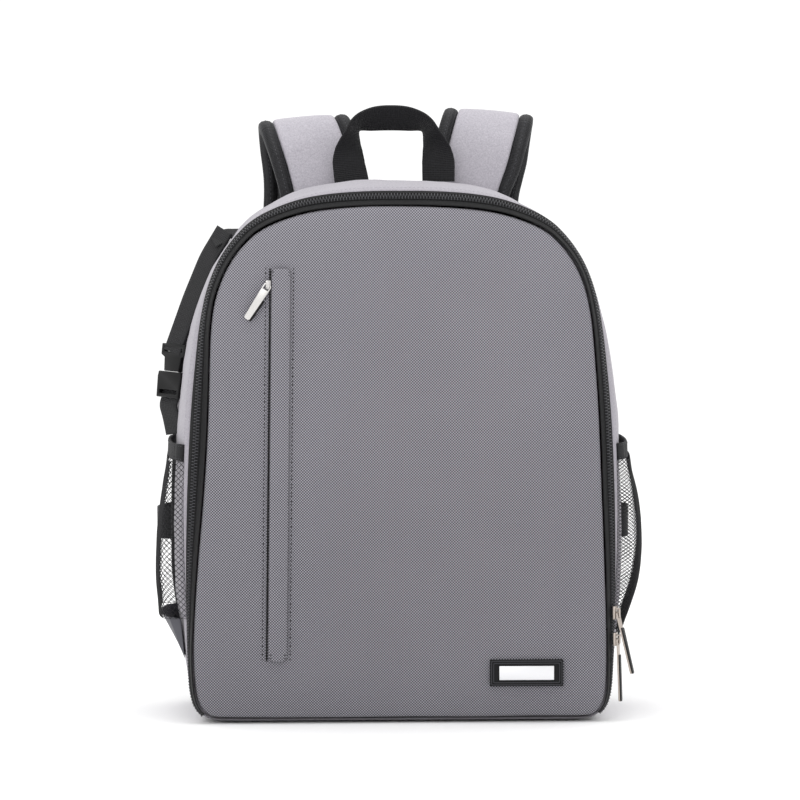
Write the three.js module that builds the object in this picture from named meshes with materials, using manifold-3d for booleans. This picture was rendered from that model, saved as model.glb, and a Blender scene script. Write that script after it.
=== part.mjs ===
// A camera backpack with a padded clamshell body, a zipped front panel, mesh side pockets,
// padded shoulder straps, a webbing grab handle and a side strap with a fastened buckle.
// Millimetres. +Z is up, -Y is the front panel's side, +Y the wearer's side. The origin is the
// middle of the flat base, halfway between the front rim and the back wall.
import * as THREE from 'three';
import { mergeVertices } from 'three/addons/utils/BufferGeometryUtils.js';
import Module from 'manifold-3d';

const wasm = await Module();
wasm.setup();

// Driving sizes
const clearance = 0.3; // gap left between pieces that touch
const body = {
  halfWidth: 161.5, // half the widest outline at the front rim
  height: 399, // height of that outline
  front: -72, // plane of the front panel's edge
  back: 62, // rear face of the back wall
  wall: 8, // foam and cloth of the shell
  flare: 11, // how far the gusset swells past the front rim
  lip: 4.3, // height of the cloth lip under the front panel
  rimGap: 1.7, // gap between the zip and the front rim
  rounding: 5, // inside rounding between the gusset and the back wall
  lipDepth: 12, // how far behind the panel's edge the lip starts inside
  rimTurn: 5, // depth over which the cloth turns round the front rim
  backTurn: 7, // rounding of the rear edge
};
const zip = {
  width: 14, tape: 1.2, coilWidth: 5.4, coilHeight: 2.4, bodyTape: 3.2, endHeight: 4,
  upperSlider: 82, lowerSlider: 62,
};
const panel = { thickness: 10, crown: 5, centreHeight: 190, seam: 0.2, backRounding: 3 };
const backPad = { inset: 14, thickness: 12, rounding: 6 };
const piping = { radius: 2.1, sides: 6, set: 0.9 }; // set: how far its middle lies in front of the back
const flap = { x: -91.5, lean: 3.2, width: 14, bottom: 48, fromTop: 58, thickness: 1.8, lift: 0.5 };
const pocketZip = { width: 1.8, thickness: 0.9 };
const label = {
  x: 93.2, z: 38.4, width: 55, height: 20, thickness: 2, plateWidth: 41, plateHeight: 10.5, plate: 0.8,
};
const handle = { width: 25, halfSpan: 34, rise: 48.5, thickness: 1.8, y: 55, lean: -3 };
const strap = {
  padWidth: 48, bindingWidth: 10.5, thickness: 12, bindingThickness: 8.5,
  rootX: 52, rise: 65, reach: 61, drop: 215, spread: 72,
  uneven: 2.5, // how far the right crest stands above the middle height, and the left below it
  tilt: 0.08, // fall of the crest towards its outer edge, as a slope
};
const webbing = { width: 25, thickness: 1.8, loopOut: 12 };
const adjuster = { width: 33, length: 24, thickness: 4.5, bar: 4, slot: 4 };
const pocket = {
  front: -52, back: 54, top: 209, bulge: 15, net: 1, leftBottom: 78, rightBottom: 56,
  elastic: 13, elasticThickness: 1.6, mouth: 3.5, boxiness: 0.4, baseBottom: 47, baseThickness: 1.5,
};
const net = { cellsDeep: 5, cellsHigh: 6, strand: 2.2 };
const sideStrap = { width: 20, thickness: 2.6, y: 12, yaw: 14, foot: 19, aboveMouth: 10.7 };
const buckle = { width: 28, maleLength: 21, femaleLength: 20, thickness: 7, slot: 3, bar: 3 };
const slider = { width: 7, length: 10, plate: 2, window: 1.9, arch: 1, archWidth: 2.2, archLength: 7 };
const pull = {
  length: 47, width: 6.2, thickness: 1.2, eye: 3.6, bar: 1.1, rim: 0.9, upperLean: 14, lowerLean: 2,
};
const pocketPull = { length: 30, width: 6, angle: 33 };
const pocketSliderSizes = { width: 3.8, length: 6.5, plate: 1.2, archLength: 5, archWidth: 1.6, below: 12 };

// Finishes: colour, roughness and metalness of each material
const finishes = {
  panelCloth: [0x84828a, 0.85, 0], gussetCloth: [0x8f8d95, 0.9, 0], blackTape: [0x232326, 0.8, 0],
  coil: [0x2b2b2e, 0.5, 0], blackWebbing: [0x2a2a2d, 0.75, 0], binding: [0x303034, 0.8, 0],
  spacerMesh: [0x1c1c1f, 0.95, 0], net: [0x1e1e20, 0.7, 0], coatedCloth: [0x4b4b50, 0.55, 0],
  acetal: [0x1d1d1f, 0.4, 0], rubber: [0x1b1b1d, 0.6, 0], brushedPlate: [0xd9d9dc, 0.35, 0.9],
  nickel: [0xb5aca8, 0.25, 1],
};

// Outline of the body at its front rim, bottom middle to top middle of the right half
// across: share of the half width, up: share of the height
const outlineRows = [
  [0, 0], [0.5, 0], [0.86, 0], [0.93, 0.012], [0.972, 0.038], [0.99, 0.085], [0.998, 0.19], [1, 0.33],
  [0.984, 0.534], [0.954, 0.683], [0.913, 0.795], [0.845, 0.87], [0.73, 0.931], [0.62, 0.961],
  [0.44, 0.987], [0.22, 0.998], [0, 1],
];

// How the zip band and the gusset change with height
// up: share of the height, band: share of the zip's width seen from the front,
// shift: the panel's sideways set as a share of the zip's width, swell: share of the flare
const heightRows = [
  { up: 0, band: 0.21, shift: 0, swell: 0 },
  { up: 0.11, band: 0.27, shift: -0.08, swell: 0.05 },
  { up: 0.16, band: 0.34, shift: -0.08, swell: 0.42 },
  { up: 0.23, band: 0.46, shift: -0.04, swell: 0.9 },
  { up: 0.42, band: 0.74, shift: 0.08, swell: 1 },
  { up: 0.55, band: 0.78, shift: 0.14, swell: 1 },
  { up: 0.65, band: 0.7, shift: 0.1, swell: 0.95 },
  { up: 0.72, band: 0.55, shift: 0.03, swell: 0.8 },
  { up: 0.8, band: 0.45, shift: 0, swell: 0.25 },
  { up: 0.86, band: 0.44, shift: 0.05, swell: -0.14 },
  { up: 0.92, band: 0.48, shift: 0.05, swell: -0.2 },
  { up: 0.97, band: 0.62, shift: 0.02, swell: 0.1 },
  { up: 1, band: 0.76, shift: 0, swell: 0.58 },
];

// The gusset from its front rim to the back edge
// deep: share of the way, swell: share of the full swell
const gussetRows = [
  { deep: 0.06, swell: 0.4 }, { deep: 0.28, swell: 0.7 }, { deep: 0.55, swell: 0.85 },
  { deep: 0.8, swell: 0.93 }, { deep: 0.955, swell: 0.95 },
];

// The front panel's face
// reach: share of the way from its middle to its edge, fall: share of the crown
const crownRows = [
  { reach: 0, fall: 0 }, { reach: 0.8, fall: 0.06 }, { reach: 0.93, fall: 0.34 },
  { reach: 0.985, fall: 0.8 }, { reach: 1, fall: 1.15 },
];

// Half of the grab handle from its foot to its top
// span: share of the half span, up: share of the rise,
// out, over and forward: the way from the ribbon's middle to its outer edge
const handleRows = [
  { span: 1, up: 0, out: 1, over: 0, forward: 0 },
  { span: 1.02, up: 0.36, out: 0.98, over: 0.1, forward: 0.12 },
  { span: 0.93, up: 0.7, out: 0.5, over: 0.28, forward: 0.82 },
  { span: 0.8, up: 0.89, out: 0.1, over: 0.5, forward: 0.86 },
  { span: 0.41, up: 0.98, out: 0.02, over: 0.72, forward: 0.69 },
  { span: 0, up: 1, out: 0, over: 0.76, forward: 0.65 },
];

// Each shoulder strap from its root, over its crest and down behind the body
// out: share of the spread, behind: share of the reach,
// up: share of the rise, or of the drop where the strap is below its root
const strapRows = [
  { out: 0, behind: 0, up: 0 }, { out: 0.04, behind: 0.003, up: 0.3 },
  { out: 0.15, behind: 0.1, up: 0.75 }, { out: 0.23, behind: 0.32, up: 0.99 },
  { out: 0.25, behind: 0.6, up: 0.99 }, { out: 0.23, behind: 0.84, up: 0.74 },
  { out: 0.19, behind: 0.97, up: 0.32 }, { out: 0.21, behind: 1, up: -0.08 },
  { out: 0.36, behind: 0.95, up: -0.36 }, { out: 0.61, behind: 0.88, up: -0.61 },
  { out: 0.84, behind: 0.79, up: -0.84 }, { out: 1, behind: 0.71, up: -1 },
];

// How far each pocket stands off the gusset; up: share of the net's height, off: share of the bulge
const leftPocketRows = [
  { up: 0, off: 0.82 }, { up: 0.2, off: 0.84 }, { up: 0.5, off: 0.78 },
  { up: 0.78, off: 0.55 }, { up: 1, off: 0.23 },
];
const rightPocketRows = [
  { up: 0, off: 0.06 }, { up: 0.14, off: 0.38 }, { up: 0.35, off: 0.86 }, { up: 0.58, off: 1 },
  { up: 0.8, off: 0.82 }, { up: 1, off: 0.23 },
];

// The side strap above its buckle
// up: share of the way from the buckle to the body's top,
// off: distance from the outline as a share of the strap's width
const sideStrapRows = [
  { up: 0.676, off: 0.42 }, { up: 0.556, off: 0.36 }, { up: 0.42, off: 0.36 }, { up: 0.283, off: 0.46 },
  { up: 0.13, off: 0.62 }, { up: 0, off: 0.8 },
];

// Small helpers
const clamp = THREE.MathUtils.clamp;
const lerp = THREE.MathUtils.lerp;
const v3 = (x, y, z) => new THREE.Vector3(x, y, z);

/** Value of a column of a table at a key, between its rows. */
function read(rows, keyName, column, key) {
  const next = rows.findIndex((row) => row[keyName] >= key);
  if (next < 1) {
    return rows[next === 0 ? 0 : rows.length - 1][column];
  }
  const from = rows[next - 1];
  const to = rows[next];
  return lerp(from[column], to[column], (key - from[keyName]) / (to[keyName] - from[keyName]));
}

/** A named mesh from corner points and triangles, with its faces turned outwards. */
function solid(name, points, faces, finish) {
  let volume = 0;
  for (const [a, b, c] of faces) {
    volume += points[a].dot(points[b].clone().cross(points[c]));
  }
  const turned = volume < 0 ? faces.map(([a, b, c]) => [a, c, b]) : faces;
  const geometry = new THREE.BufferGeometry().setFromPoints(points);
  geometry.setIndex(turned.flat());
  return dressed(name, geometry, finish);
}

/** A mesh with its name and finish. */
function dressed(name, geometry, finish) {
  geometry.computeVertexNormals();
  const [color, roughness, metalness] = finishes[finish];
  const mesh = new THREE.Mesh(geometry, new THREE.MeshStandardMaterial({ color, roughness, metalness }));
  mesh.name = name;
  return mesh;
}

/** Triangles between rings of one size; closed joins the last to the first, otherwise the ends are capped. */
function loft(name, rings, finish, closed = false) {
  const size = rings[0].length;
  const points = rings.flat();
  const faces = [];
  const strips = closed ? rings.length : rings.length - 1;
  for (let r = 0; r < strips; r += 1) {
    const next = (r + 1) % rings.length;
    for (let i = 0; i < size; i += 1) {
      const j = (i + 1) % size;
      faces.push([r * size + i, r * size + j, next * size + j]);
      faces.push([r * size + i, next * size + j, next * size + i]);
    }
  }
  if (!closed) {
    for (const [ring, flip] of [[0, true], [rings.length - 1, false]]) {
      const middle = rings[ring].reduce((sum, p) => sum.add(p), v3(0, 0, 0)).divideScalar(size);
      points.push(middle);
      for (let i = 0; i < size; i += 1) {
        const a = ring * size + i;
        const b = ring * size + ((i + 1) % size);
        faces.push(flip ? [b, a, points.length - 1] : [a, b, points.length - 1]);
      }
    }
  }
  return solid(name, points, faces, finish);
}

/** Rings of a flat ribbon from its two edges, thick along the cross of its run and its width. */
function ribbonRings(left, right, thickness) {
  return left.map((edge, i) => {
    const before = Math.max(i - 1, 0);
    const after = Math.min(i + 1, left.length - 1);
    const run = left[after].clone().add(right[after]).sub(left[before]).sub(right[before]);
    const up = run.cross(right[i].clone().sub(edge)).normalize().multiplyScalar(thickness / 2);
    return [edge.clone().add(up), right[i].clone().add(up), right[i].clone().sub(up), edge.clone().sub(up)];
  });
}

/** Points of a smooth curve through given points. */
function smooth(points, steps) {
  return new THREE.CatmullRomCurve3(points, false, 'centripetal').getPoints(steps);
}

/** A copy of a geometry with shared corners merged, as a manifold solid. */
function manifold(geometry) {
  const bare = geometry.clone();
  bare.deleteAttribute('normal');
  bare.deleteAttribute('uv');
  const merged = mergeVertices(bare, 1e-4);
  return new wasm.Manifold(new wasm.Mesh({
    numProp: 3,
    vertProperties: new Float32Array(merged.attributes.position.array),
    triVerts: new Uint32Array(merged.index.array),
  }));
}

/** A manifold solid as a named mesh. */
function fromManifold(name, shape, finish) {
  const { vertProperties, triVerts } = shape.getMesh();
  const geometry = new THREE.BufferGeometry();
  geometry.setAttribute('position', new THREE.BufferAttribute(vertProperties, 3));
  geometry.setIndex(new THREE.BufferAttribute(triVerts, 1));
  return dressed(name, geometry, finish);
}

/** A flat plate of an outline with holes, centred on its thickness. */
function plate(outlinePoints, holes, thickness) {
  const shape = new THREE.Shape(outlinePoints.map(([x, y]) => new THREE.Vector2(x, y)));
  for (const hole of holes) {
    shape.holes.push(new THREE.Path(hole.map(([x, y]) => new THREE.Vector2(x, y))));
  }
  const geometry = new THREE.ExtrudeGeometry(shape, { depth: thickness, bevelEnabled: false });
  return geometry.translate(0, 0, -thickness / 2);
}

/** Corners of a rectangle from its middle and its sizes. */
function rectangle(x, y, width, height) {
  return [
    [x - width / 2, y - height / 2], [x + width / 2, y - height / 2],
    [x + width / 2, y + height / 2], [x - width / 2, y + height / 2],
  ];
}

/** The matrix that puts local x, y and z on three directions at a place. */
function placed(across, along, outward, place) {
  return new THREE.Matrix4().makeBasis(across, along, outward).setPosition(place);
}

// The body's outline with its outward normals, anticlockwise from the bottom middle as seen from the front
function bodyOutline() {
  const right = outlineRows.map(([across, up]) => v3(across * body.halfWidth, 0, up * body.height));
  const left = right.slice(1, -1).reverse().map((p) => v3(-p.x, 0, p.z));
  const corners = [...right, ...left];
  const curve = new THREE.CatmullRomCurve3(corners, true, 'centripetal');
  const steps = corners.length * 2;
  const points = Array.from({ length: steps }, (_, i) => curve.getPoint(i / steps));
  for (const point of points) {
    point.z = Math.max(point.z, 0);
  }
  return points.map((p, i) => {
    const run = points[(i + 1) % steps].clone().sub(points[(i + steps - 1) % steps]).normalize();
    const up = p.z / body.height;
    const band = zip.width * read(heightRows, 'up', 'band', up);
    return {
      x: p.x, z: p.z, nx: run.z, nz: -run.x, band,
      depth: Math.sqrt(zip.width ** 2 - band ** 2),
      shift: zip.width * read(heightRows, 'up', 'shift', up),
      swell: body.flare * read(heightRows, 'up', 'swell', up),
      under: clamp((body.lip + 0.2 - p.z) / 3, 0, 1),
    };
  });
}
const outline = bodyOutline();

/** A ring round the outline; at gives each point's distance outwards and its y. */
function ring(at) {
  return outline.map((p) => {
    const { off, y, shift = 0 } = at(p);
    return v3(p.x + p.nx * off + shift, y, p.z + p.nz * off);
  });
}

/** y of the shell's front rim at an outline point, and of the lip behind it. */
const rim = (p) => lerp(body.front + p.depth + body.rimGap, body.front + 1, p.under);
const lipStart = (p) => lerp(rim(p), body.front + body.lipDepth, p.under);

/** Distance of the gusset's face out from the outline, from the height's swell and the depth. */
function gussetOff(swell, y) {
  return swell * read(gussetRows, 'deep', 'swell', (y - body.front) / (body.back - body.front));
}

/** Half width of the body's outline at a height. */
function halfWidthAt(z) {
  const side = outline.filter((p) => p.x > 0 && p.nx > 0.05);
  const rows = side.map((p) => ({ z: p.z, x: p.x }));
  return read(rows, 'z', 'x', z);
}

/** x of the gusset's face on one side, at a height and a depth. */
function gussetX(side, z, y) {
  const swell = body.flare * read(heightRows, 'up', 'swell', z / body.height);
  return side * (halfWidthAt(z) + gussetOff(swell, y));
}

function bodyShell() {
  const inner = body.back - body.wall;
  const middle = lerp(body.front, body.back, 0.46);
  const rings = [
    ring((p) => ({ off: p.swell * 0.9 - body.wall - body.rounding, y: inner })),
    ring((p) => ({ off: p.swell * 0.9 - body.wall, y: inner - body.rounding })),
    ring((p) => ({ off: gussetOff(p.swell, middle) - body.wall, y: middle })),
    ring((p) => ({ off: -body.wall, y: lipStart(p) + 0.6 })),
    ring((p) => ({ off: lerp(-body.wall / 2, -body.lip - 0.1, p.under), y: lipStart(p) + 0.3 })),
    ring((p) => ({ off: -body.lip * 0.88 * p.under, y: rim(p) })),
    ring((p) => ({ off: lerp(p.swell * gussetRows[0].swell, -1, p.under), y: rim(p) + body.rimTurn })),
    ...gussetRows.slice(1).map((row) => {
      const y = lerp(body.front, body.back, row.deep);
      return ring((p) => ({ off: p.swell * row.swell, y }));
    }),
    ring((p) => ({ off: p.swell * 0.95 - body.backTurn * 0.36, y: body.back - body.backTurn * 0.21 })),
    ring(() => ({ off: -body.backTurn, y: body.back })),
  ];
  return loft('body_shell', rings, 'gussetCloth');
}

// The front panel
const panelInset = (p) => p.band + zip.tape * p.depth / zip.width + clearance + panel.seam;
const panelOutline = ring((p) => ({ off: -panelInset(p), y: body.front, shift: p.shift }));
const panelCentre = v3(0, body.front, panel.centreHeight);

/** A ring of the panel at a share of the way from its middle to its edge. */
function panelRing(reach, y) {
  return panelOutline.map((p) => p.clone().lerp(panelCentre, 1 - reach).setY(y));
}

const crownY = (fall) => body.front - panel.crown * (1 - fall);

/** y of the panel's face at a place. */
function panelFace(x, z) {
  const way = v3(x, 0, z).sub(v3(panelCentre.x, 0, panelCentre.z));
  let reach = 0;
  panelOutline.forEach((a, i) => {
    const b = panelOutline[(i + 1) % panelOutline.length];
    const ax = a.x - panelCentre.x;
    const az = a.z - panelCentre.z;
    const ex = b.x - a.x;
    const ez = b.z - a.z;
    const cross = ax * ez - az * ex;
    reach = Math.max(reach, (way.x * ez - way.z * ex) / cross);
  });
  return crownY(read(crownRows, 'reach', 'fall', Math.min(reach, 1)));
}

function frontPanel() {
  const face = crownRows.slice(1).map((row) => panelRing(row.reach, crownY(row.fall)));
  const back = body.front + panel.thickness;
  const rear = [panelRing(1, back - panel.backRounding), panelRing(0.97, back)];
  return loft('front_panel', [...face, ...rear], 'panelCloth');
}

// The zip: two tapes and the coil between them, from one lower corner over the top to the other
function zipStrip(name, section, finish) {
  const path = outline.filter((p) => p.z > zip.endHeight);
  const rings = path.map((p) => section.map(([across, height]) => {
    const off = (-across * p.band + height * p.depth) / zip.width;
    const y = body.front + p.depth + (-across * p.depth - height * p.band) / zip.width;
    const slide = p.shift * clamp(across / zip.width, 0, 1);
    return v3(p.x + p.nx * off + slide, y, p.z + p.nz * off);
  }));
  return loft(name, rings, finish);
}

function zipPieces() {
  const coilFrom = zip.bodyTape + clearance;
  const coilTo = coilFrom + zip.coilWidth;
  const strip = (from, to, low, high) => [[from, low], [to, low], [to, high], [from, high]];
  const low = 1 - zip.coilHeight;
  const coil = [
    [coilFrom, low], [coilTo, low], [coilTo, 0.2], [coilTo - 1.4, 1], [coilFrom + 1.4, 1], [coilFrom, 0.2],
  ];
  return [
    zipStrip('zip_tape_body', strip(0.2, zip.bodyTape, -zip.tape, 0), 'blackTape'),
    zipStrip('zip_coil', coil, 'coil'),
    zipStrip('zip_tape_panel', strip(coilTo + clearance, zip.width - clearance, -zip.tape, 0), 'blackTape'),
  ];
}

// The back: piping round the rear edge and a padded panel
function backPiping() {
  const rings = outline.map((p) => {
    const centre = lerp(p.swell * 0.95 + 0.2, -piping.radius - clearance, p.under);
    return Array.from({ length: piping.sides }, (_, i) => {
      const angle = (i / piping.sides) * Math.PI * 2;
      const off = centre + piping.radius * Math.cos(angle);
      const y = body.back - piping.set + piping.radius * (p.under * 0.93 + Math.sin(angle));
      return v3(p.x + p.nx * off, y, p.z + p.nz * off);
    });
  });
  return loft('back_piping', rings, 'binding', true);
}

function backPanel() {
  const near = body.back + clearance;
  const far = near + backPad.thickness;
  const rings = [
    ring(() => ({ off: -backPad.inset, y: near })),
    ring(() => ({ off: -backPad.inset, y: far - backPad.rounding })),
    ring(() => ({ off: -backPad.inset - backPad.rounding * 0.35, y: far - backPad.rounding * 0.35 })),
    ring(() => ({ off: -backPad.inset - backPad.rounding, y: far })),
  ];
  return loft('back_pad', rings, 'spacerMesh');
}

// The front pocket: a cloth flap over its zip, a slider and its pull
const flapTop = body.height - flap.fromTop;

function stripOnPanel(name, left, right, lift, thickness, finish) {
  const steps = 14;
  const rings = Array.from({ length: steps + 1 }, (_, i) => {
    const share = i / steps;
    const z = lerp(flap.bottom, flapTop, share);
    const shift = flap.lean * (share - 0.5);
    const xs = [flap.x + left + shift, flap.x + right + shift];
    const backs = xs.map((x) => panelFace(x, z) - lift);
    return [
      v3(xs[0], backs[0], z), v3(xs[1], backs[1], z),
      v3(xs[1], backs[1] - thickness, z), v3(xs[0], backs[0] - thickness, z),
    ];
  });
  return loft(name, rings, finish);
}

function frontPocket() {
  const half = flap.width / 2;
  return [
    stripOnPanel('pocket_flap', -half, half, flap.lift, flap.thickness, 'panelCloth'),
    stripOnPanel('pocket_zip', -half - clearance - pocketZip.width, -half - clearance, flap.lift,
      pocketZip.thickness, 'blackTape'),
  ];
}

/** A slider: a plate with a narrow arch over a window. Local y runs along the zip and z away from it. */
function sliderSolid(size) {
  const base = plate(rectangle(0, 0, size.width, size.length), [], size.plate);
  base.translate(0, 0, -size.plate / 2);
  const top = size.window + size.arch;
  const sunk = size.plate / 2;
  const profile = rectangle(0, (top - sunk) / 2, size.archLength, top + sunk);
  const window = rectangle(0, size.window / 2, size.archLength - 2 * size.arch, size.window);
  const arch = plate(profile, [window], size.archWidth);
  arch.applyMatrix4(placed(v3(0, 1, 0), v3(0, 0, 1), v3(1, 0, 0), v3(0, 0, 0)));
  return manifold(base).add(manifold(arch));
}

/** A pull: a flat bar with an eye. The crossbar is at the origin and the bar hangs along local -y. */
function pullPlate(length, width) {
  const top = pull.bar / 2;
  const half = width / 2;
  const tip = half - width * 0.12;
  const neck = top - pull.eye - 2;
  const cut = 1;
  const outer = [
    [-half + cut, top], [-half, top - cut], [-half, neck], [-tip, -length + cut], [-tip + cut, -length],
    [tip - cut, -length], [tip, -length + cut], [half, neck], [half, top - cut], [half - cut, top],
  ];
  const hole = rectangle(0, -pull.bar / 2 - pull.eye / 2, width - 2 * pull.rim, pull.eye);
  return plate(outer, [hole], pull.thickness);
}

/** A slider and its pull on the zip at a height of the right side; lean turns the pull away from the body. */
function mainZipSlider(name, z, lean) {
  const up = z / body.height;
  const band = zip.width * read(heightRows, 'up', 'band', up);
  const depth = Math.sqrt(zip.width ** 2 - band ** 2);
  const across = zip.bodyTape + clearance + zip.coilWidth / 2;
  const outward = v3(depth, -band, 0).divideScalar(zip.width);
  const along = v3(0, 0, 1);
  const width = along.clone().cross(outward);
  const lift = 1 + clearance + slider.plate;
  const seat = v3(
    halfWidthAt(z) - (across * band) / zip.width, body.front + depth * (1 - across / zip.width), z,
  ).addScaledVector(outward, lift);
  const sliderMesh = fromManifold(`${name}_slider`, sliderSolid(slider), 'nickel');
  sliderMesh.applyMatrix4(placed(width, along, outward, seat));
  const pivot = seat.clone().addScaledVector(outward, slider.window / 2);
  const hang = along.clone().applyAxisAngle(width, THREE.MathUtils.degToRad(-lean));
  const pullMesh = dressed(`${name}_pull`, pullPlate(pull.length, pull.width), 'nickel');
  pullMesh.applyMatrix4(placed(width, hang, width.clone().cross(hang), pivot));
  return [sliderMesh, pullMesh];
}

/** The front pocket's small slider and its bar, which lies slanted on the panel. */
function pocketSlider() {
  const small = { ...slider, ...pocketSliderSizes };
  const z = flapTop - small.below;
  const x = flap.x + flap.lean * 0.46 - flap.width / 2 - clearance * 2 - small.width / 2;
  const outward = v3(0, -1, 0);
  const lift = flap.lift + pocketZip.thickness + clearance + small.plate;
  const seat = v3(x, panelFace(x + small.width / 2, z) - lift - clearance, z);
  const sliderMesh = fromManifold('pocket_slider', sliderSolid(small), 'nickel');
  sliderMesh.applyMatrix4(placed(v3(1, 0, 0), v3(0, 0, 1), outward, seat));
  const slant = THREE.MathUtils.degToRad(pocketPull.angle);
  const hang = v3(Math.sin(slant), 0, Math.cos(slant));
  const pivot = seat.clone().addScaledVector(outward, small.window / 2);
  const pullMesh = dressed('pocket_pull', pullPlate(pocketPull.length, pocketPull.width), 'nickel');
  pullMesh.applyMatrix4(placed(hang.clone().cross(outward), hang, outward, pivot));
  return [sliderMesh, pullMesh];
}

// The label: a rubber patch with a bare plate in its rim
function labelPieces() {
  const corners = rectangle(label.x, label.z, label.width, label.height);
  const faceY = Math.min(...corners.map(([x, z]) => panelFace(x, z)));
  const patchY = faceY - clearance - label.thickness / 2;
  const recess = label.plate * 0.6;
  const facing = (y) => placed(v3(1, 0, 0), v3(0, 0, 1), v3(0, -1, 0), v3(label.x, y, label.z));
  const patch = plate(rectangle(0, 0, label.width, label.height), [], label.thickness);
  const seat = plate(
    rectangle(0, 0, label.plateWidth + 2 * clearance, label.plateHeight + 2 * clearance), [], recess * 2,
  ).translate(0, 0, label.thickness / 2);
  const patchMesh = fromManifold('label_patch', manifold(patch).subtract(manifold(seat)), 'rubber');
  patchMesh.applyMatrix4(facing(patchY));
  const plateShape = plate(rectangle(0, 0, label.plateWidth, label.plateHeight), [], label.plate);
  const plateMesh = dressed('label_plate', plateShape, 'brushedPlate');
  plateMesh.applyMatrix4(facing(patchY - label.thickness / 2 + recess - clearance - label.plate / 2));
  return [patchMesh, plateMesh];
}

// The grab handle: a webbing ribbon, flat to the front at its ends and turned over at its top
function grabHandle() {
  const base = topOfShell(0, handle.y) + clearance;
  const edge = (side, way) => handleRows.map((row) => {
    const reach = way * handle.width / 2;
    return v3(
      side * (row.span * handle.halfSpan + row.out * reach) + handle.lean * row.up,
      handle.y - row.forward * reach, base + row.up * handle.rise + row.over * reach,
    );
  });
  const run = (way) => smooth([...edge(-1, way), ...edge(1, way).reverse().slice(1)], 24);
  const rings = ribbonRings(run(1), run(-1), handle.thickness);
  for (const end of [0, rings.length - 1]) {
    rings[end].forEach((p) => { p.z = topOfShell(p.x, p.y) + clearance * 3; });
  }
  return loft('grab_handle', rings, 'blackWebbing');
}

/** Height of the shell's top at a place. */
function topOfShell(x, y) {
  const upper = outline.filter((p) => p.nz > 0.3).map((p) => {
    const off = gussetOff(p.swell, Math.min(y, body.back - 6));
    return { x: -(p.x + p.nx * off), z: p.z + p.nz * off };
  });
  return read(upper, 'x', 'z', -x);
}

// Shoulder straps
/** The middle line of a strap, with its sideways and outward directions at each step. */
function strapLine(side) {
  const rootY = body.back - piping.set + piping.radius + clearance + strap.thickness / 2;
  const rootZ = body.height - backPad.inset + clearance;
  const points = strapRows.map((row) => v3(
    side * (strap.rootX + row.out * strap.spread), rootY + row.behind * strap.reach,
    rootZ + row.up * (row.up > 0 ? strap.rise + side * strap.uneven : strap.drop),
  ));
  const curve = new THREE.CatmullRomCurve3(points, false, 'centripetal');
  const steps = 22;
  return Array.from({ length: steps + 1 }, (_, i) => {
    const along = curve.getTangent(i / steps);
    const level = v3(1, 0, -side * strap.tilt);
    const across = level.addScaledVector(along, -level.dot(along)).normalize();
    return { place: curve.getPoint(i / steps), along, across, outward: along.clone().cross(across) };
  });
}

/** A point of a strap from its step, sideways and outward distances. */
const onStrap = (step, across, outward) => (
  step.place.clone().addScaledVector(step.across, across).addScaledVector(step.outward, outward)
);

function shoulderStrap(side, word) {
  const line = strapLine(side);
  const half = strap.padWidth / 2;
  const thick = strap.thickness / 2;
  const edge = strap.bindingThickness / 2;
  const pad = line.map((step) => [
    [-half, -edge], [-half * 0.6, -thick], [half * 0.6, -thick], [half, -edge],
    [half, edge], [half * 0.6, thick], [-half * 0.6, thick], [-half, edge],
  ].map(([across, outward]) => onStrap(step, across, outward)));
  const binding = (from, name) => loft(name, line.map((step) => {
    const near = from * (half + clearance * 2);
    const far = from * (half + strap.bindingWidth);
    const turn = far - from * 2;
    return [
      [near, -edge], [near, edge], [turn, edge], [far, edge * 0.4], [far, -edge * 0.4], [turn, -edge],
    ].map(([across, outward]) => onStrap(step, across, outward));
  }), 'binding');
  return [
    loft(`shoulder_strap_${word}`, pad, 'gussetCloth'),
    binding(side, `strap_binding_outer_${word}`),
    binding(-side, `strap_binding_inner_${word}`),
    ...strapEnd(side, word, line[line.length - 1]),
  ];
}

/** The adjuster under a strap and the webbing that loops out to the body's rear edge. */
function strapEnd(side, word, end) {
  const outer = rectangle(0, 0, adjuster.width, adjuster.length);
  const slotAt = adjuster.length / 2 - adjuster.bar - adjuster.slot / 2;
  const slots = [-1, 1].map((s) => rectangle(0, s * slotAt, webbing.width + 1, adjuster.slot));
  const down = end.along;
  const middle = end.place.clone().addScaledVector(down, adjuster.length / 2 + clearance);
  const adjusterMesh = dressed(`strap_adjuster_${word}`, plate(outer, slots, adjuster.thickness), 'acetal');
  adjusterMesh.applyMatrix4(placed(end.across, down, end.across.clone().cross(down), middle));
  const start = end.place.clone().addScaledVector(down, adjuster.length + clearance * 5);
  const z = start.z - webbing.width * 0.3;
  const seam = v3(gussetX(side, z, body.back), body.back + piping.radius + clearance, z);
  const far = seam.clone().add(v3(side * webbing.loopOut, (start.y - seam.y) * 0.45, 0));
  const rows = [
    [start, end.across.clone().multiplyScalar(side)],
    [start.clone().lerp(far, 0.3).add(v3(0, 2, -3)), v3(side * 0.55, -0.2, 0.8)],
    [start.clone().lerp(far, 0.65).add(v3(0, 2, 0)), v3(side * 0.08, -0.05, 1)],
    [far, v3(0, 0, 1)],
    [seam.clone().lerp(far, 0.6).add(v3(side * 2, -6, 0)), v3(0, 0, 1)],
    [seam.clone().add(v3(-side * 2, webbing.thickness, 0)), v3(0, 0, 1)],
  ];
  const half = webbing.width / 2;
  const edges = [1, -1].map((s) => smooth(
    rows.map(([place, way]) => place.clone().addScaledVector(way.clone().normalize(), s * half)), 18,
  ));
  return [
    adjusterMesh,
    loft(`strap_webbing_${word}`, ribbonRings(edges[0], edges[1], webbing.thickness), 'blackWebbing'),
  ];
}

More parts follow.
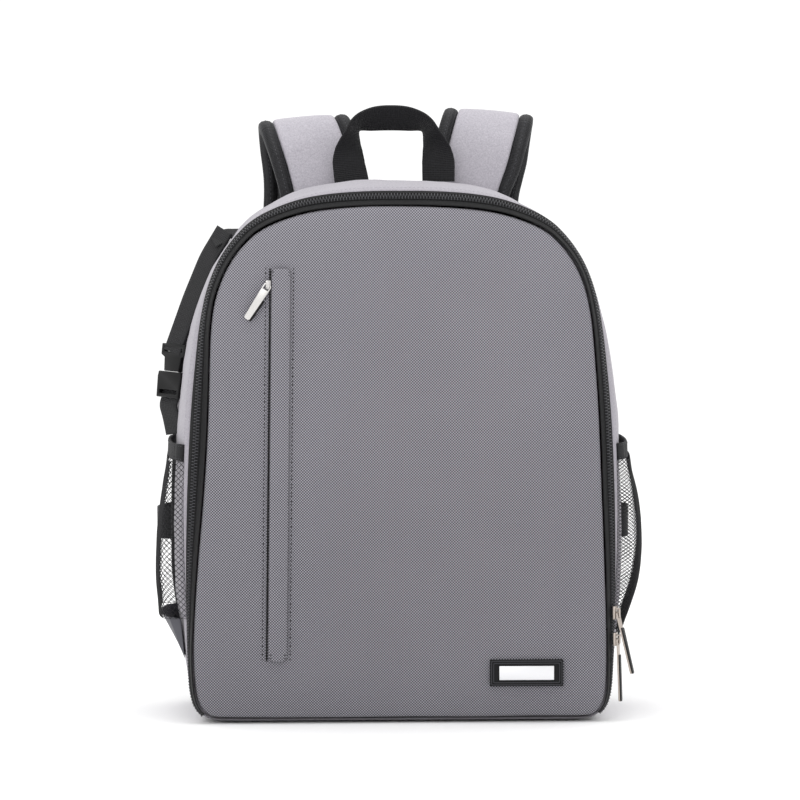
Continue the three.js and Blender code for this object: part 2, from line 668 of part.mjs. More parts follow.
// Mesh side pockets
/** The pocket's face at a share of its depth and its height, with its outward direction. */
function pocketPoint(side, rows, bottom, deep, up, inward) {
  const top = pocket.top - pocket.elastic;
  const z = lerp(bottom, top, up);
  const y = lerp(pocket.front, pocket.back, deep);
  const round = Math.sin(Math.PI * clamp(deep, 0, 1)) ** pocket.boxiness;
  const off = pocket.bulge * read(rows, 'up', 'off', up) * round;
  return v3(gussetX(side, z, y) + side * (clearance * 2 + pocket.net + off - inward), y, z);
}

/** A coarse net: diamond gaps cut through a thin curved sheet. */
function pocketNet(side, word, rows, bottom) {
  const columns = net.cellsDeep * 2;
  const levels = net.cellsHigh * 2;
  const height = pocket.top - pocket.elastic - bottom;
  const depth = pocket.back - pocket.front;
  const trim = Math.min(net.strand / (depth / net.cellsDeep), net.strand / (height / net.cellsHigh)) * 1.4;
  const points = [];
  const faces = [];
  const index = new Map();
  const corner = (u, w, layer) => {
    const key = `${u.toFixed(4)} ${w.toFixed(4)} ${layer}`;
    if (!index.has(key)) {
      index.set(key, points.length);
      points.push(pocketPoint(side, rows, bottom, u / columns, w / levels, layer * pocket.net));
    }
    return index.get(key);
  };
  const polygon = (list) => {
    for (let i = 1; i < list.length - 1; i += 1) {
      faces.push([0, i, i + 1].map((k) => corner(...list[k], 0)));
      faces.push([0, i + 1, i].map((k) => corner(...list[k], 1)));
    }
  };
  const wall = (a, b) => {
    faces.push([corner(...a, 0), corner(...a, 1), corner(...b, 1)]);
    faces.push([corner(...a, 0), corner(...b, 1), corner(...b, 0)]);
  };
  for (let i = 0; i <= columns; i += 1) {
    for (let j = 0; j <= levels; j += 1) {
      if ((i + j) % 2 === 1) {
        diamond(i, j, columns, levels, trim, polygon, wall);
      }
    }
  }
  const border = [];
  for (let i = 0; i < columns; i += 1) {
    border.push([[i, 0], [i + 1, 0]], [[i + 1, levels], [i, levels]]);
  }
  for (let j = 0; j < levels; j += 1) {
    border.push([[columns, j], [columns, j + 1]], [[0, j + 1], [0, j]]);
  }
  border.forEach(([a, b]) => wall(a, b));
  return solid(`pocket_net_${word}`, points, faces, 'net');
}

/** One diamond of the net: a gap with its frame, or a filled piece at the border. */
function diamond(i, j, columns, levels, trim, polygon, wall) {
  const inside = ([u, w]) => u >= 0 && u <= columns && w >= 0 && w <= levels;
  const tips = [[i + 1, j], [i, j + 1], [i - 1, j], [i, j - 1]];
  const kept = tips.filter(inside);
  if (kept.length < 4) {
    const middle = [i, j];
    for (let k = 0; k < 4; k += 1) {
      const a = tips[k];
      const b = tips[(k + 1) % 4];
      if (inside(a) && inside(b)) {
        polygon([middle, a, b]);
      }
    }
    return;
  }
  const gap = tips.map(([u, w]) => [lerp(u, i, trim), lerp(w, j, trim)]);
  for (let k = 0; k < 4; k += 1) {
    const next = (k + 1) % 4;
    polygon([tips[k], tips[next], gap[next], gap[k]]);
    wall(gap[next], gap[k]);
  }
}

/** The elastic edge along a pocket's mouth. */
function pocketElastic(side, word) {
  const steps = 12;
  const bottom = pocket.top - pocket.elastic + clearance;
  const rings = Array.from({ length: steps + 1 }, (_, i) => {
    const deep = i / steps;
    const y = lerp(pocket.front, pocket.back, deep);
    const off = clearance * 2 + pocket.mouth * Math.sin(Math.PI * deep) ** pocket.boxiness;
    const near = (z) => v3(gussetX(side, z, y) + side * off, y, z);
    const thick = v3(side * pocket.elasticThickness, 0, 0);
    const low = near(bottom);
    const high = near(pocket.top);
    return [low, low.clone().add(thick), high.clone().add(thick), high];
  });
  return loft(`pocket_elastic_${word}`, rings, 'blackWebbing');
}

/** The coated cloth under the left pocket, from the net's hem down and in to the gusset. */
function pocketBase(side, word, rows, bottom) {
  const steps = 12;
  const rings = Array.from({ length: steps + 1 }, (_, i) => {
    const deep = i / steps;
    const hem = pocketPoint(side, rows, bottom, deep, 0, 0);
    const y = hem.y;
    const foot = v3(gussetX(side, pocket.baseBottom, y) + side * (clearance + 1), y, pocket.baseBottom);
    hem.z -= clearance;
    const thick = v3(-side * pocket.baseThickness, 0, 0);
    return [foot, hem, hem.clone().add(thick), foot.clone().add(v3(side * 0.2, 0, pocket.baseThickness * 2))];
  });
  return loft(`pocket_base_${word}`, rings, 'coatedCloth');
}

// The side strap on the left: a loop, doubled webbing, a fastened buckle and the lower webbing
function sideStrapPieces() {
  const yaw = THREE.MathUtils.degToRad(sideStrap.yaw);
  const across = v3(Math.sin(yaw), -Math.cos(yaw), 0);
  const half = sideStrap.width / 2;
  const lower = pocket.top + sideStrap.aboveMouth + sideStrap.foot;
  const hangZ = lower + buckle.femaleLength + buckle.maleLength + clearance * 8;
  const middle = sideStrapRows.map((row) => {
    const z = lerp(hangZ, body.height, row.up);
    return v3(-halfWidthAt(z) - row.off * sideStrap.width, sideStrap.y, z);
  });
  const ribbon = (points, reach, steps) => [1, -1].map((s) => (
    smooth(points.map((p) => p.clone().addScaledVector(across, s * reach)), steps)
  ));
  const edges = ribbon(middle, half, 14);
  const upperRings = ribbonRings(edges[0], edges[1], sideStrap.thickness);
  const upper = loft('side_strap_upper', upperRings, 'blackWebbing');

  const end = middle[middle.length - 1];
  const top = end.clone().setZ(end.z - clearance * 4);
  const length = buckle.maleLength + clearance + buckle.femaleLength;
  const slant = Math.sin(yaw) * buckle.width / 2;
  const lowX = gussetX(-1, top.z - length, sideStrap.y) - slant - buckle.thickness / 2 - clearance;
  const along = top.clone().sub(v3(lowX, sideStrap.y, top.z - length)).normalize();
  const flat = across.clone().addScaledVector(along, -along.dot(across)).normalize();
  const outward = flat.clone().cross(along);
  const w = buckle.width / 2;
  const bars = buckle.bar * 2 + buckle.slot;
  const male = plate([
    [-w, 0], [-w, -bars + 0.5], [-w * 0.7, -bars - 1.5], [-w * 0.62, -buckle.maleLength],
    [w * 0.62, -buckle.maleLength], [w * 0.7, -bars - 1.5], [w, -bars + 0.5], [w, 0],
  ], [rectangle(0, -buckle.bar - buckle.slot / 2, sideStrap.width + 1, buckle.slot)], buckle.thickness * 0.7);
  const femaleTop = -buckle.maleLength - clearance;
  const femaleEnd = femaleTop - buckle.femaleLength;
  const slot = rectangle(0, femaleEnd + buckle.bar + buckle.slot / 2, sideStrap.width + 1, buckle.slot);
  const female = plate([
    [-w * 0.94, femaleTop], [-w, femaleTop - 4], [-w * 0.94, femaleEnd], [w * 0.94, femaleEnd],
    [w, femaleTop - 4], [w * 0.94, femaleTop],
  ], [slot], buckle.thickness);
  const frame = placed(flat, along, outward, top);
  const maleMesh = dressed('buckle_male', male, 'acetal');
  maleMesh.applyMatrix4(frame);
  const femaleMesh = dressed('buckle_female', female, 'acetal');
  femaleMesh.applyMatrix4(frame);

  const from = top.clone().addScaledVector(along, femaleEnd - clearance * 3);
  const footZ = from.z - sideStrap.foot;
  const footX = gussetX(-1, footZ, sideStrap.y) - Math.sin(yaw) * half - sideStrap.thickness / 2;
  const foot = v3(footX, sideStrap.y, footZ);
  const hanging = (share, out) => from.clone().add(v3(out, 0, -share * sideStrap.foot));
  const low = [from, hanging(0.26, -1.2), hanging(0.58, 0.2), foot.clone().add(v3(-0.6, 0, 3)), foot];
  const lowEdges = ribbon(low, half, 10);
  const lowRings = ribbonRings(lowEdges[0], lowEdges[1], sideStrap.thickness * 0.7);
  const lowerMesh = loft('side_strap_lower', lowRings, 'blackWebbing');

  const head = middle[0];
  const loopStart = head.clone().add(v3(sideStrap.thickness * 0.7, 0, sideStrap.thickness * 0.6));
  const anchorZ = loopStart.z + sideStrap.thickness;
  const anchor = v3(gussetX(-1, anchorZ, sideStrap.y) - Math.sin(yaw) * half - 0.8, sideStrap.y, anchorZ);
  const loopTop = loopStart.clone().lerp(anchor, 0.5).add(v3(0, 0, 1));
  const loopEdges = ribbon([loopStart, loopTop, anchor], half * 0.8, 5);
  const loop = loft('side_strap_anchor', ribbonRings(loopEdges[0], loopEdges[1], 0.9), 'blackWebbing');
  return [loop, upper, maleMesh, femaleMesh, lowerMesh];
}

const backpack = new THREE.Group();
backpack.name = 'camera_backpack';
backpack.add(bodyShell(), frontPanel(), ...zipPieces(), backPiping(), backPanel());
backpack.add(...frontPocket(), ...pocketSlider(), ...labelPieces(), grabHandle());
for (const [side, word] of [[-1, 'left'], [1, 'right']]) {
  backpack.add(...shoulderStrap(side, word), pocketElastic(side, word));
}
backpack.add(
  pocketNet(-1, 'left', leftPocketRows, pocket.leftBottom),
  pocketNet(1, 'right', rightPocketRows, pocket.rightBottom),
  pocketBase(-1, 'left', leftPocketRows, pocket.leftBottom),
);
backpack.add(...sideStrapPieces());
backpack.add(...mainZipSlider('upper_zip', zip.upperSlider, pull.upperLean));
backpack.add(...mainZipSlider('lower_zip', zip.lowerSlider, pull.lowerLean));

export default backpack;
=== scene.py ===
"""Looks of a camera backpack: cloth, zips, nets and trim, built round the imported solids."""

import logging
import math
from dataclasses import dataclass, field, replace
from enum import Enum
from typing import Callable, Iterable, Sequence

import bmesh
import bpy
from mathutils import Matrix, Vector, noise
from mathutils.bvhtree import BVHTree


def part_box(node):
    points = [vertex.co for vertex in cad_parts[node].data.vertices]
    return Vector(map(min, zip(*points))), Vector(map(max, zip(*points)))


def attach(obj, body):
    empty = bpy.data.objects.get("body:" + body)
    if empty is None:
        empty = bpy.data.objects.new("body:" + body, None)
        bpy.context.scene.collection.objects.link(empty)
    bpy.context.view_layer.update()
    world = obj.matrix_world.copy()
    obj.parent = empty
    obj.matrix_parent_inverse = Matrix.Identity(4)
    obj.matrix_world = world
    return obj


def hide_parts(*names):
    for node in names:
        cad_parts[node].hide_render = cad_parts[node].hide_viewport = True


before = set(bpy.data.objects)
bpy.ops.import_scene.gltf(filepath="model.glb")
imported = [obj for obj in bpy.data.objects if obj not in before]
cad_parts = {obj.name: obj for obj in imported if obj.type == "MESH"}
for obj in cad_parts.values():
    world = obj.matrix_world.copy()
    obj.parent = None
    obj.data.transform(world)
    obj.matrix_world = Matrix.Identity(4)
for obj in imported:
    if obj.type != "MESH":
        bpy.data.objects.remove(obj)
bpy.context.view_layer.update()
MM = 0.001
LOG = logging.getLogger("backpack")
FRONT = Vector((0, -1, 0))
BACK = Vector((0, 1, 0))
UP = Vector((0, 0, 1))
Tree = bpy.types.NodeTree
Socket = bpy.types.NodeSocket
BMesh = bmesh.types.BMesh


class Side(Enum):
    """The viewer's left or right of the bag."""

    LEFT = -1
    RIGHT = 1

    @property
    def word(self) -> str:
        """The side's name as the nodes spell it."""
        return self.name.lower()


# Materials


def linear(code: int, alpha: float = 1.0) -> tuple[float, float, float, float]:
    """Turns an sRGB hex value into a linear colour.

    Args:
        code: The colour as 0xRRGGBB.
        alpha: The fourth number.

    Returns:
        Red, green, blue and alpha for a colour socket.
    """
    parts = [((code >> shift) & 255) / 255 for shift in (16, 8, 0)]
    flat = [c / 12.92 if c <= 0.04045 else ((c + 0.055) / 1.055) ** 2.4 for c in parts]
    return (*flat, alpha)


def set_inputs(tree: Tree, node: bpy.types.Node, inputs: dict) -> None:
    """Sets a node's inputs, or links those that are given an output socket.

    Args:
        tree: The material's node tree.
        node: The node.
        inputs: A value or a socket for each input's name or number.
    """
    for key, value in inputs.items():
        if isinstance(value, Socket):
            tree.links.new(value, node.inputs[key])
        else:
            node.inputs[key].default_value = value


def add_node(tree: Tree, kind: str, inputs: dict | None = None, **settings) -> bpy.types.Node:
    """Adds a node.

    Args:
        tree: The material's node tree.
        kind: The node's type, without its ShaderNode prefix.
        inputs: What set_inputs sets or links.
        settings: Properties of the node.

    Returns:
        The new node.
    """
    node = tree.nodes.new("ShaderNode" + kind)
    for name, value in settings.items():
        setattr(node, name, value)
    set_inputs(tree, node, inputs or {})
    return node


@dataclass(frozen=True)
class Finish:
    """A finish that a surface can wear; each kind draws its own pattern."""

    name: str
    slot: str

    def material(self) -> bpy.types.Material:
        """Gives the finish's material, made once."""
        made = bpy.data.materials.get(self.name)
        if made is None:
            made = bpy.data.materials.new(self.name)
            made.use_nodes = True
            shader = made.node_tree.nodes["Principled BSDF"]
            self.draw(made.node_tree, shader)
        return made

    def draw(self, tree: Tree, shader: bpy.types.Node) -> None:
        """Draws the pattern into the shader."""
        raise NotImplementedError


def object_place(tree: Tree) -> Socket:
    """Gives the place in the object's own coordinates, in metres."""
    return add_node(tree, "TexCoord").outputs["Object"]


def strip_place(tree: Tree) -> Socket:
    """Gives the place on a swept strip: across in x and along in y, both in metres."""
    across, along = (add_node(tree, "Attribute", attribute_name=name).outputs["Fac"]
                     for name in ("across", "along"))
    return add_node(tree, "CombineXYZ", {0: across, 1: along}).outputs[0]


def cloud(tree: Tree, place: Socket, scale: float, detail: float, rough: float = 0.5) -> Socket:
    """Gives a smooth noise from 0 to 1.

    Args:
        tree: The node tree.
        place: The place's socket, in metres.
        scale: How many spots there are in a metre.
        detail: How many finer layers of spots it has.
        rough: How strong the finer layers are.

    Returns:
        The noise's socket.
    """
    inputs = {"Vector": place, "Scale": scale, "Detail": detail, "Roughness": rough}
    return add_node(tree, "TexNoise", inputs).outputs[0]


def scaled(tree: Tree, value: Socket, factor: float, added: float | Socket) -> Socket:
    """Gives a value times a factor, plus another value."""
    inputs = {0: value, 1: factor, 2: added}
    return add_node(tree, "Math", inputs, operation="MULTIPLY_ADD").outputs[0]


def ranged(tree: Tree, value: Socket, low: float, high: float) -> Socket:
    """Gives a value from 0 to 1 mapped to a range."""
    return add_node(tree, "MapRange", {0: value, 3: low, 4: high}).outputs[0]


def bumped(tree: Tree, height: Socket, depth: float, strength: float) -> Socket:
    """Gives the normals of a relief that is a depth in metres deep."""
    inputs = {"Height": height, "Distance": depth, "Strength": strength}
    return add_node(tree, "Bump", inputs).outputs[0]


def waves(tree: Tree, place: Socket, axis: int, pitch: float) -> Socket:
    """Gives a wave from -1 to 1 along one axis of a place.

    Args:
        tree: The node tree.
        place: The place's socket, in metres.
        axis: 0, 1 or 2 for x, y or z.
        pitch: The wave's length in metres.

    Returns:
        The wave's socket.
    """
    split = add_node(tree, "SeparateXYZ", {0: place})
    turns = scaled(tree, split.outputs[axis], math.tau / pitch, 0.0)
    return add_node(tree, "Math", {0: turns}, operation="SINE").outputs[0]


def blended(tree: Tree, factor: Socket, low: int, high: int) -> Socket:
    """Gives a colour between two hex colours by a factor from 0 to 1."""
    ramp = add_node(tree, "ValToRGB", {0: factor})
    ramp.color_ramp.elements[0].color = linear(low)
    ramp.color_ramp.elements[1].color = linear(high)
    return ramp.outputs[0]


@dataclass(frozen=True)
class DottedWeave(Finish):
    """Two-tone polyester, woven over and under.

    Light yarn stands over dark yarn in a fine checker, which gives the eye a dotted grey.
    """

    dark: int = 0x38373C
    light: int = 0x9B99A1
    pitch: float = 2.1 * MM  # over and under of two yarns, drawn at its real size
    edge: tuple[float, float] = (-0.35, 0.5)  # where a light dot begins and where it is full
    relief: float = 0.12 * MM
    painted_top_light: float = 0.55  # how much lighter it is for each metre up: painted light from above
    shade: float = 0.195  # taken off everywhere, so that the middle keeps its tone under the painted top light
    drift: float = 0.14

    def draw(self, tree: Tree, shader: bpy.types.Node) -> None:
        place = object_place(tree)
        yarns = {i: waves(tree, place, axis, self.pitch) for i, axis in enumerate((0, 2))}
        dots = add_node(tree, "Math", yarns, operation="MULTIPLY").outputs[0]
        crisp = add_node(tree, "MapRange", {0: dots, 1: self.edge[0], 2: self.edge[1]},
                         interpolation_type="SMOOTHSTEP").outputs[0]
        height = add_node(tree, "SeparateXYZ", {0: place}).outputs[2]
        # painted light: the cloth is lighter the higher it lies, standing in for the light from
        # above
        slow = scaled(tree, height, self.painted_top_light, -self.shade)
        slow = scaled(tree, cloud(tree, place, 9.0, 2.0), self.drift, slow)
        level = scaled(tree, crisp, 1.0, slow)
        set_inputs(tree, shader, {
            "Base Color": blended(tree, level, self.dark, self.light),
            "Normal": bumped(tree, dots, self.relief, 0.6),
            "Roughness": 0.85, "Sheen Weight": 0.06, "Sheen Roughness": 0.5,
        })


@dataclass(frozen=True)
class Melange(Finish):
    """Melange polyester, finely woven of light and dark fibres: a soft speckled grey."""

    dark: int = 0x807D85
    light: int = 0xB2AEB5
    fibre: float = 1.1 * MM  # length of a speck, drawn twice as coarse as it is so that it shows
    relief: float = 0.08 * MM
    contrast: float = 1.5
    drift: float = 0.2

    def draw(self, tree: Tree, shader: bpy.types.Node) -> None:
        """Draws specks at two sizes over a slow change of tone."""
        place = object_place(tree)
        specks = cloud(tree, place, 1 / self.fibre, 3.0, 0.7)
        level = scaled(tree, specks, self.contrast, -0.35)
        level = scaled(tree, cloud(tree, place, 14.0, 2.0), self.drift, level)
        set_inputs(tree, shader, {
            "Base Color": blended(tree, level, self.dark, self.light),
            "Normal": bumped(tree, specks, self.relief, 0.5),
            "Roughness": 0.88, "Sheen Weight": 0.15, "Sheen Roughness": 0.5,
        })


@dataclass(frozen=True)
class RibbedStrip(Finish):
    """Woven strip, such as webbing, zip tape, binding or elastic: fine ribs run across it."""

    dark: int = 0x111113
    light: int = 0x3A3A3E
    rib: float = 1.3 * MM
    cord: float = 1.9 * MM  # spacing of the warp cords that run along it
    relief: float = 0.18 * MM
    rough: float = 0.62
    shine: float = 0.3  # yarn scatters most of the light that a smooth face would mirror
    fuzz: float = 0.7

    def draw(self, tree: Tree, shader: bpy.types.Node) -> None:
        """Draws the ribs and cords by the place on the strip, lighter on their crests: painted
        highlight and painted shade.
        """
        place = strip_place(tree)
        ribs = waves(tree, place, 1, self.rib)
        weave = scaled(tree, waves(tree, place, 0, self.cord), 0.45, ribs)
        # raised ribs and cords are painted lighter and the grooves darker: painted highlight and
        # painted shade over the bump
        level = scaled(tree, weave, 0.14, 0.05)
        level = scaled(tree, cloud(tree, object_place(tree), 0.6 / MM, 2.0), self.fuzz, level)
        set_inputs(tree, shader, {
            "Base Color": blended(tree, level, self.dark, self.light),
            "Normal": bumped(tree, weave, self.relief, 0.7),
            "Roughness": self.rough, "Specular IOR Level": self.shine,
            "Sheen Weight": 0.04, "Sheen Roughness": 0.4,
        })


@dataclass(frozen=True)
class SpacerMesh(Finish):
    """Knitted spacer mesh over foam: black, with rows of small open cells."""

    cell: float = 3.2 * MM
    dark: int = 0x0C0C0D
    light: int = 0x2C2C30
    relief: float = 0.5 * MM

    def draw(self, tree: Tree, shader: bpy.types.Node) -> None:
        """Draws the cells with bump, darker where they are open: painted shade in the holes."""
        inputs = {"Vector": object_place(tree), "Scale": 1 / self.cell, "Randomness": 0.25}
        cells = add_node(tree, "TexVoronoi", inputs).outputs["Distance"]
        height = add_node(tree, "MapRange", {0: cells, 1: 0.15, 2: 0.5}).outputs[0]
        set_inputs(tree, shader, {
            "Base Color": blended(tree, height, self.dark, self.light),
            "Normal": bumped(tree, height, self.relief, 0.9),
            "Roughness": 0.9, "Sheen Weight": 0.1,
        })


@dataclass(frozen=True)
class Moulded(Finish):
    """Injection-moulded or cast piece: one colour, a fine grain and softly uneven gloss."""

    colour: int = 0x18181A
    rough: float = 0.38
    grain: float = 0.5 * MM
    relief: float = 0.03 * MM
    shine: float = 0.3

    def draw(self, tree: Tree, shader: bpy.types.Node) -> None:
        """Draws the grain and the change of gloss."""
        place = object_place(tree)
        grain = cloud(tree, place, 1 / self.grain, 2.0)
        wear = cloud(tree, place, 120.0, 3.0)
        set_inputs(tree, shader, {
            "Base Color": linear(self.colour),
            "Normal": bumped(tree, grain, self.relief, 0.6),
            "Roughness": ranged(tree, wear, self.rough - 0.08, self.rough + 0.1),
            "Specular IOR Level": self.shine,
        })


@dataclass(frozen=True)
class Metal(Finish):
    """Metal, cast and plated or rolled and brushed: bright, with fine streaks and dull spots."""

    colour: int = 0xC9C0BA
    rough: float = 0.2
    streak: float = 0.25 * MM
    stretch: float = 12.0
    relief: float = 0.02 * MM

    def draw(self, tree: Tree, shader: bpy.types.Node) -> None:
        """Draws streaks by a stretched noise, in gloss and bump."""
        inputs = {"Vector": object_place(tree), "Scale": (1 / self.stretch, 1.0, 1.0)}
        mapped = add_node(tree, "Mapping", inputs).outputs[0]
        streaks = cloud(tree, mapped, 1 / self.streak, 3.0)
        set_inputs(tree, shader, {
            "Base Color": linear(self.colour), "Metallic": 1.0,
            "Normal": bumped(tree, streaks, self.relief, 0.4),
            "Roughness": ranged(tree, streaks, self.rough * 0.7, self.rough * 1.6),
        })


@dataclass(frozen=True)
class Yarn(Finish):
    """Spun or braided yarn of a net or a stitch: matt, with a slight twist in its tone."""

    dark: int = 0x0B0B0C
    light: int = 0x232326
    rough: float = 0.75

    def draw(self, tree: Tree, shader: bpy.types.Node) -> None:
        """Draws a fine change of tone."""
        twist = cloud(tree, object_place(tree), 1.2 / MM, 1.0)
        colour = blended(tree, twist, self.dark, self.light)
        set_inputs(tree, shader, {"Base Color": colour, "Roughness": self.rough})


PANEL_CLOTH = DottedWeave("dotted polyester weave", "panel_cloth")
GUSSET_CLOTH = Melange("melange polyester", "gusset_cloth")
# a lighter copy of the gusset cloth: painted light, standing in for the overhead light that falls
# on the straps
LIT_STRAP_CLOTH = replace(GUSSET_CLOTH, name="melange polyester of the straps",
                      dark=0x8D8A92, light=0xC2BEC5)
# a darker copy of the gusset cloth: painted shade at the foot of the front and along the pocket
# flap's edges
PAINTED_SHADE_CLOTH = replace(GUSSET_CLOTH, name="melange polyester of the base",
                    dark=0x4A484D, light=0x6E6B71)
ZIP_TAPE = RibbedStrip("woven zip tape", "zip_tape", rib=0.9 * MM, cord=1.4 * MM,
                       dark=0x070708, light=0x1E1E20)
BINDING = RibbedStrip("grosgrain binding", "binding", rib=1.2 * MM, cord=2.4 * MM,
                      dark=0x0C0C0E, light=0x363639)
WEBBING = RibbedStrip("polypropylene webbing", "webbing", dark=0x070708, light=0x252528)
ELASTIC = RibbedStrip("knitted elastic", "webbing", rib=0.9 * MM, cord=1.1 * MM,
                      dark=0x070708, light=0x222225)
SPACER = SpacerMesh("spacer mesh", "spacer_mesh")
NET_YARN = Yarn("knotless polyester net", "net")
COATED = Moulded("coated polyester", "coated_cloth", colour=0x4E4E54, rough=0.5,
                 grain=0.9 * MM, relief=0.1 * MM)
ACETAL = Moulded("moulded acetal", "acetal", colour=0x080809, shine=0.22)
RUBBER = Moulded("moulded rubber", "rubber", colour=0x0C0C0E, rough=0.55, grain=0.4 * MM,
                 shine=0.2)
RUBBER_RIM = replace(RUBBER, name="moulded rubber of the rim", colour=0x2C2C30, rough=0.5,
                     shine=0.3)
NYLON = Moulded("nylon coil", "zip_coil", colour=0x38383C, rough=0.35, shine=0.5)
NICKEL = Metal("plated zinc", "nickel", colour=0xB4AAA2, rough=0.28)
SILVER = replace(NICKEL, name="polished zinc", colour=0xCCCAC8, rough=0.26)
BRUSHED = Metal("brushed aluminium", "label_plate", colour=0xE6E6E8, rough=0.34, stretch=30.0)
PAINT = Moulded("painted studio floor", "floor", colour=0xFFFFFF, rough=1.0, grain=4 * MM)
GREY_THREAD = Yarn("grey sewing thread", "gusset_cloth", dark=0x7E7B82, light=0xA5A2A9)
DARK_THREAD = Yarn("dark grey sewing thread", "panel_cloth", dark=0x222125, light=0x3B393E)
BLACK_THREAD = Yarn("black sewing thread", "binding", dark=0x2A2A2D, light=0x55555A)


# Meshes


def placed_object(mesh: bpy.types.Mesh, levels: int = 0) -> bpy.types.Object:
    """Puts a mesh in the scene, with a Subdivision Surface modifier where it has levels."""
    made = bpy.data.objects.new(mesh.name, mesh)
    bpy.context.scene.collection.objects.link(made)
    if levels:
        soften = made.modifiers.new("soften", "SUBSURF")
        soften.levels = levels
        soften.render_levels = levels
    return made


def finished(name: str, bm: BMesh, finishes: list[Finish], body: str = "root",
             replaces: Iterable[str] = (), smooth: bool = True,
             levels: int = 0) -> bpy.types.Object:
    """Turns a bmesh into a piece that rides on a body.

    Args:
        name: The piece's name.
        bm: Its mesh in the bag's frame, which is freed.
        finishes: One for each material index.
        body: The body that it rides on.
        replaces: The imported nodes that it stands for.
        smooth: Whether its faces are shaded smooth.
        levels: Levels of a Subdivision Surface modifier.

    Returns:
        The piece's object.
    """
    for face in bm.faces:
        face.smooth = smooth
    mesh = bpy.data.meshes.new(name)
    bm.to_mesh(mesh)
    bm.free()
    for finish in finishes:
        mesh.materials.append(finish.material())
    piece = placed_object(mesh, levels)
    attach(piece, body)
    if replaces:
        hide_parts(*replaces)
    LOG.info("%s: %d faces on %s", name, len(mesh.polygons), body)
    return piece


def placing(place: Vector, x: Vector, y: Vector, z: Vector) -> Matrix:
    """Gives the matrix that puts local x, y and z on three directions at a place."""
    turned = Matrix([[c[i] for c in (x, y, z)] for i in range(3)]).to_4x4()
    return Matrix.Translation(place) @ turned


def ramp(value: float, start: float, length: float) -> float:
    """Gives how far a value is along a stretch, from 0 before it to 1 past it."""
    return max(0.0, min(1.0, (value - start) / length))


def round_edges(bm: BMesh, width: float, angle: float = 0.35, segments: int = 2) -> None:
    """Rounds every edge that is sharper than an angle.

    Args:
        bm: The mesh.
        width: The rounding's width in metres.
        angle: The angle in radians.
        segments: The rounding's steps.
    """
    sharp = [e for e in bm.edges if e.is_manifold and e.calc_face_angle() > angle]
    bmesh.ops.bevel(bm, geom=sharp, offset=width, segments=segments, profile=0.5,
                    affect="EDGES", material=-1, clamp_overlap=True)


def crumple(bm: BMesh, depth: float, size: float,
            mask: Callable[[Vector], float] = lambda place: 1.0) -> None:
    """Moves a mesh's points in and out by a smooth noise, as cloth over foam does.

    Args:
        bm: The mesh.
        depth: The largest move in metres.
        size: The size of the folds in metres.
        mask: Gives a share of the depth for each place.
    """
    bm.normal_update()
    for vert in bm.verts:
        vert.co += vert.normal * (noise.noise(vert.co / size) * depth * mask(vert.co))


@dataclass(frozen=True)
class Station:
    """One cross-section's place on a swept piece, with its directions and half sizes."""

    place: Vector
    across: Vector
    outward: Vector
    half_width: float
    half_depth: float
    along: float

    @property
    def matrix(self) -> Matrix:
        """The matrix that puts the unit section at this station."""
        run = self.across.cross(self.outward)
        return placing(self.place, self.across * self.half_width,
                       self.outward * self.half_depth, run)

    def at(self, across: float, outward: float) -> Vector:
        """A point by its distances in metres."""
        return self.place + self.across * across + self.outward * outward


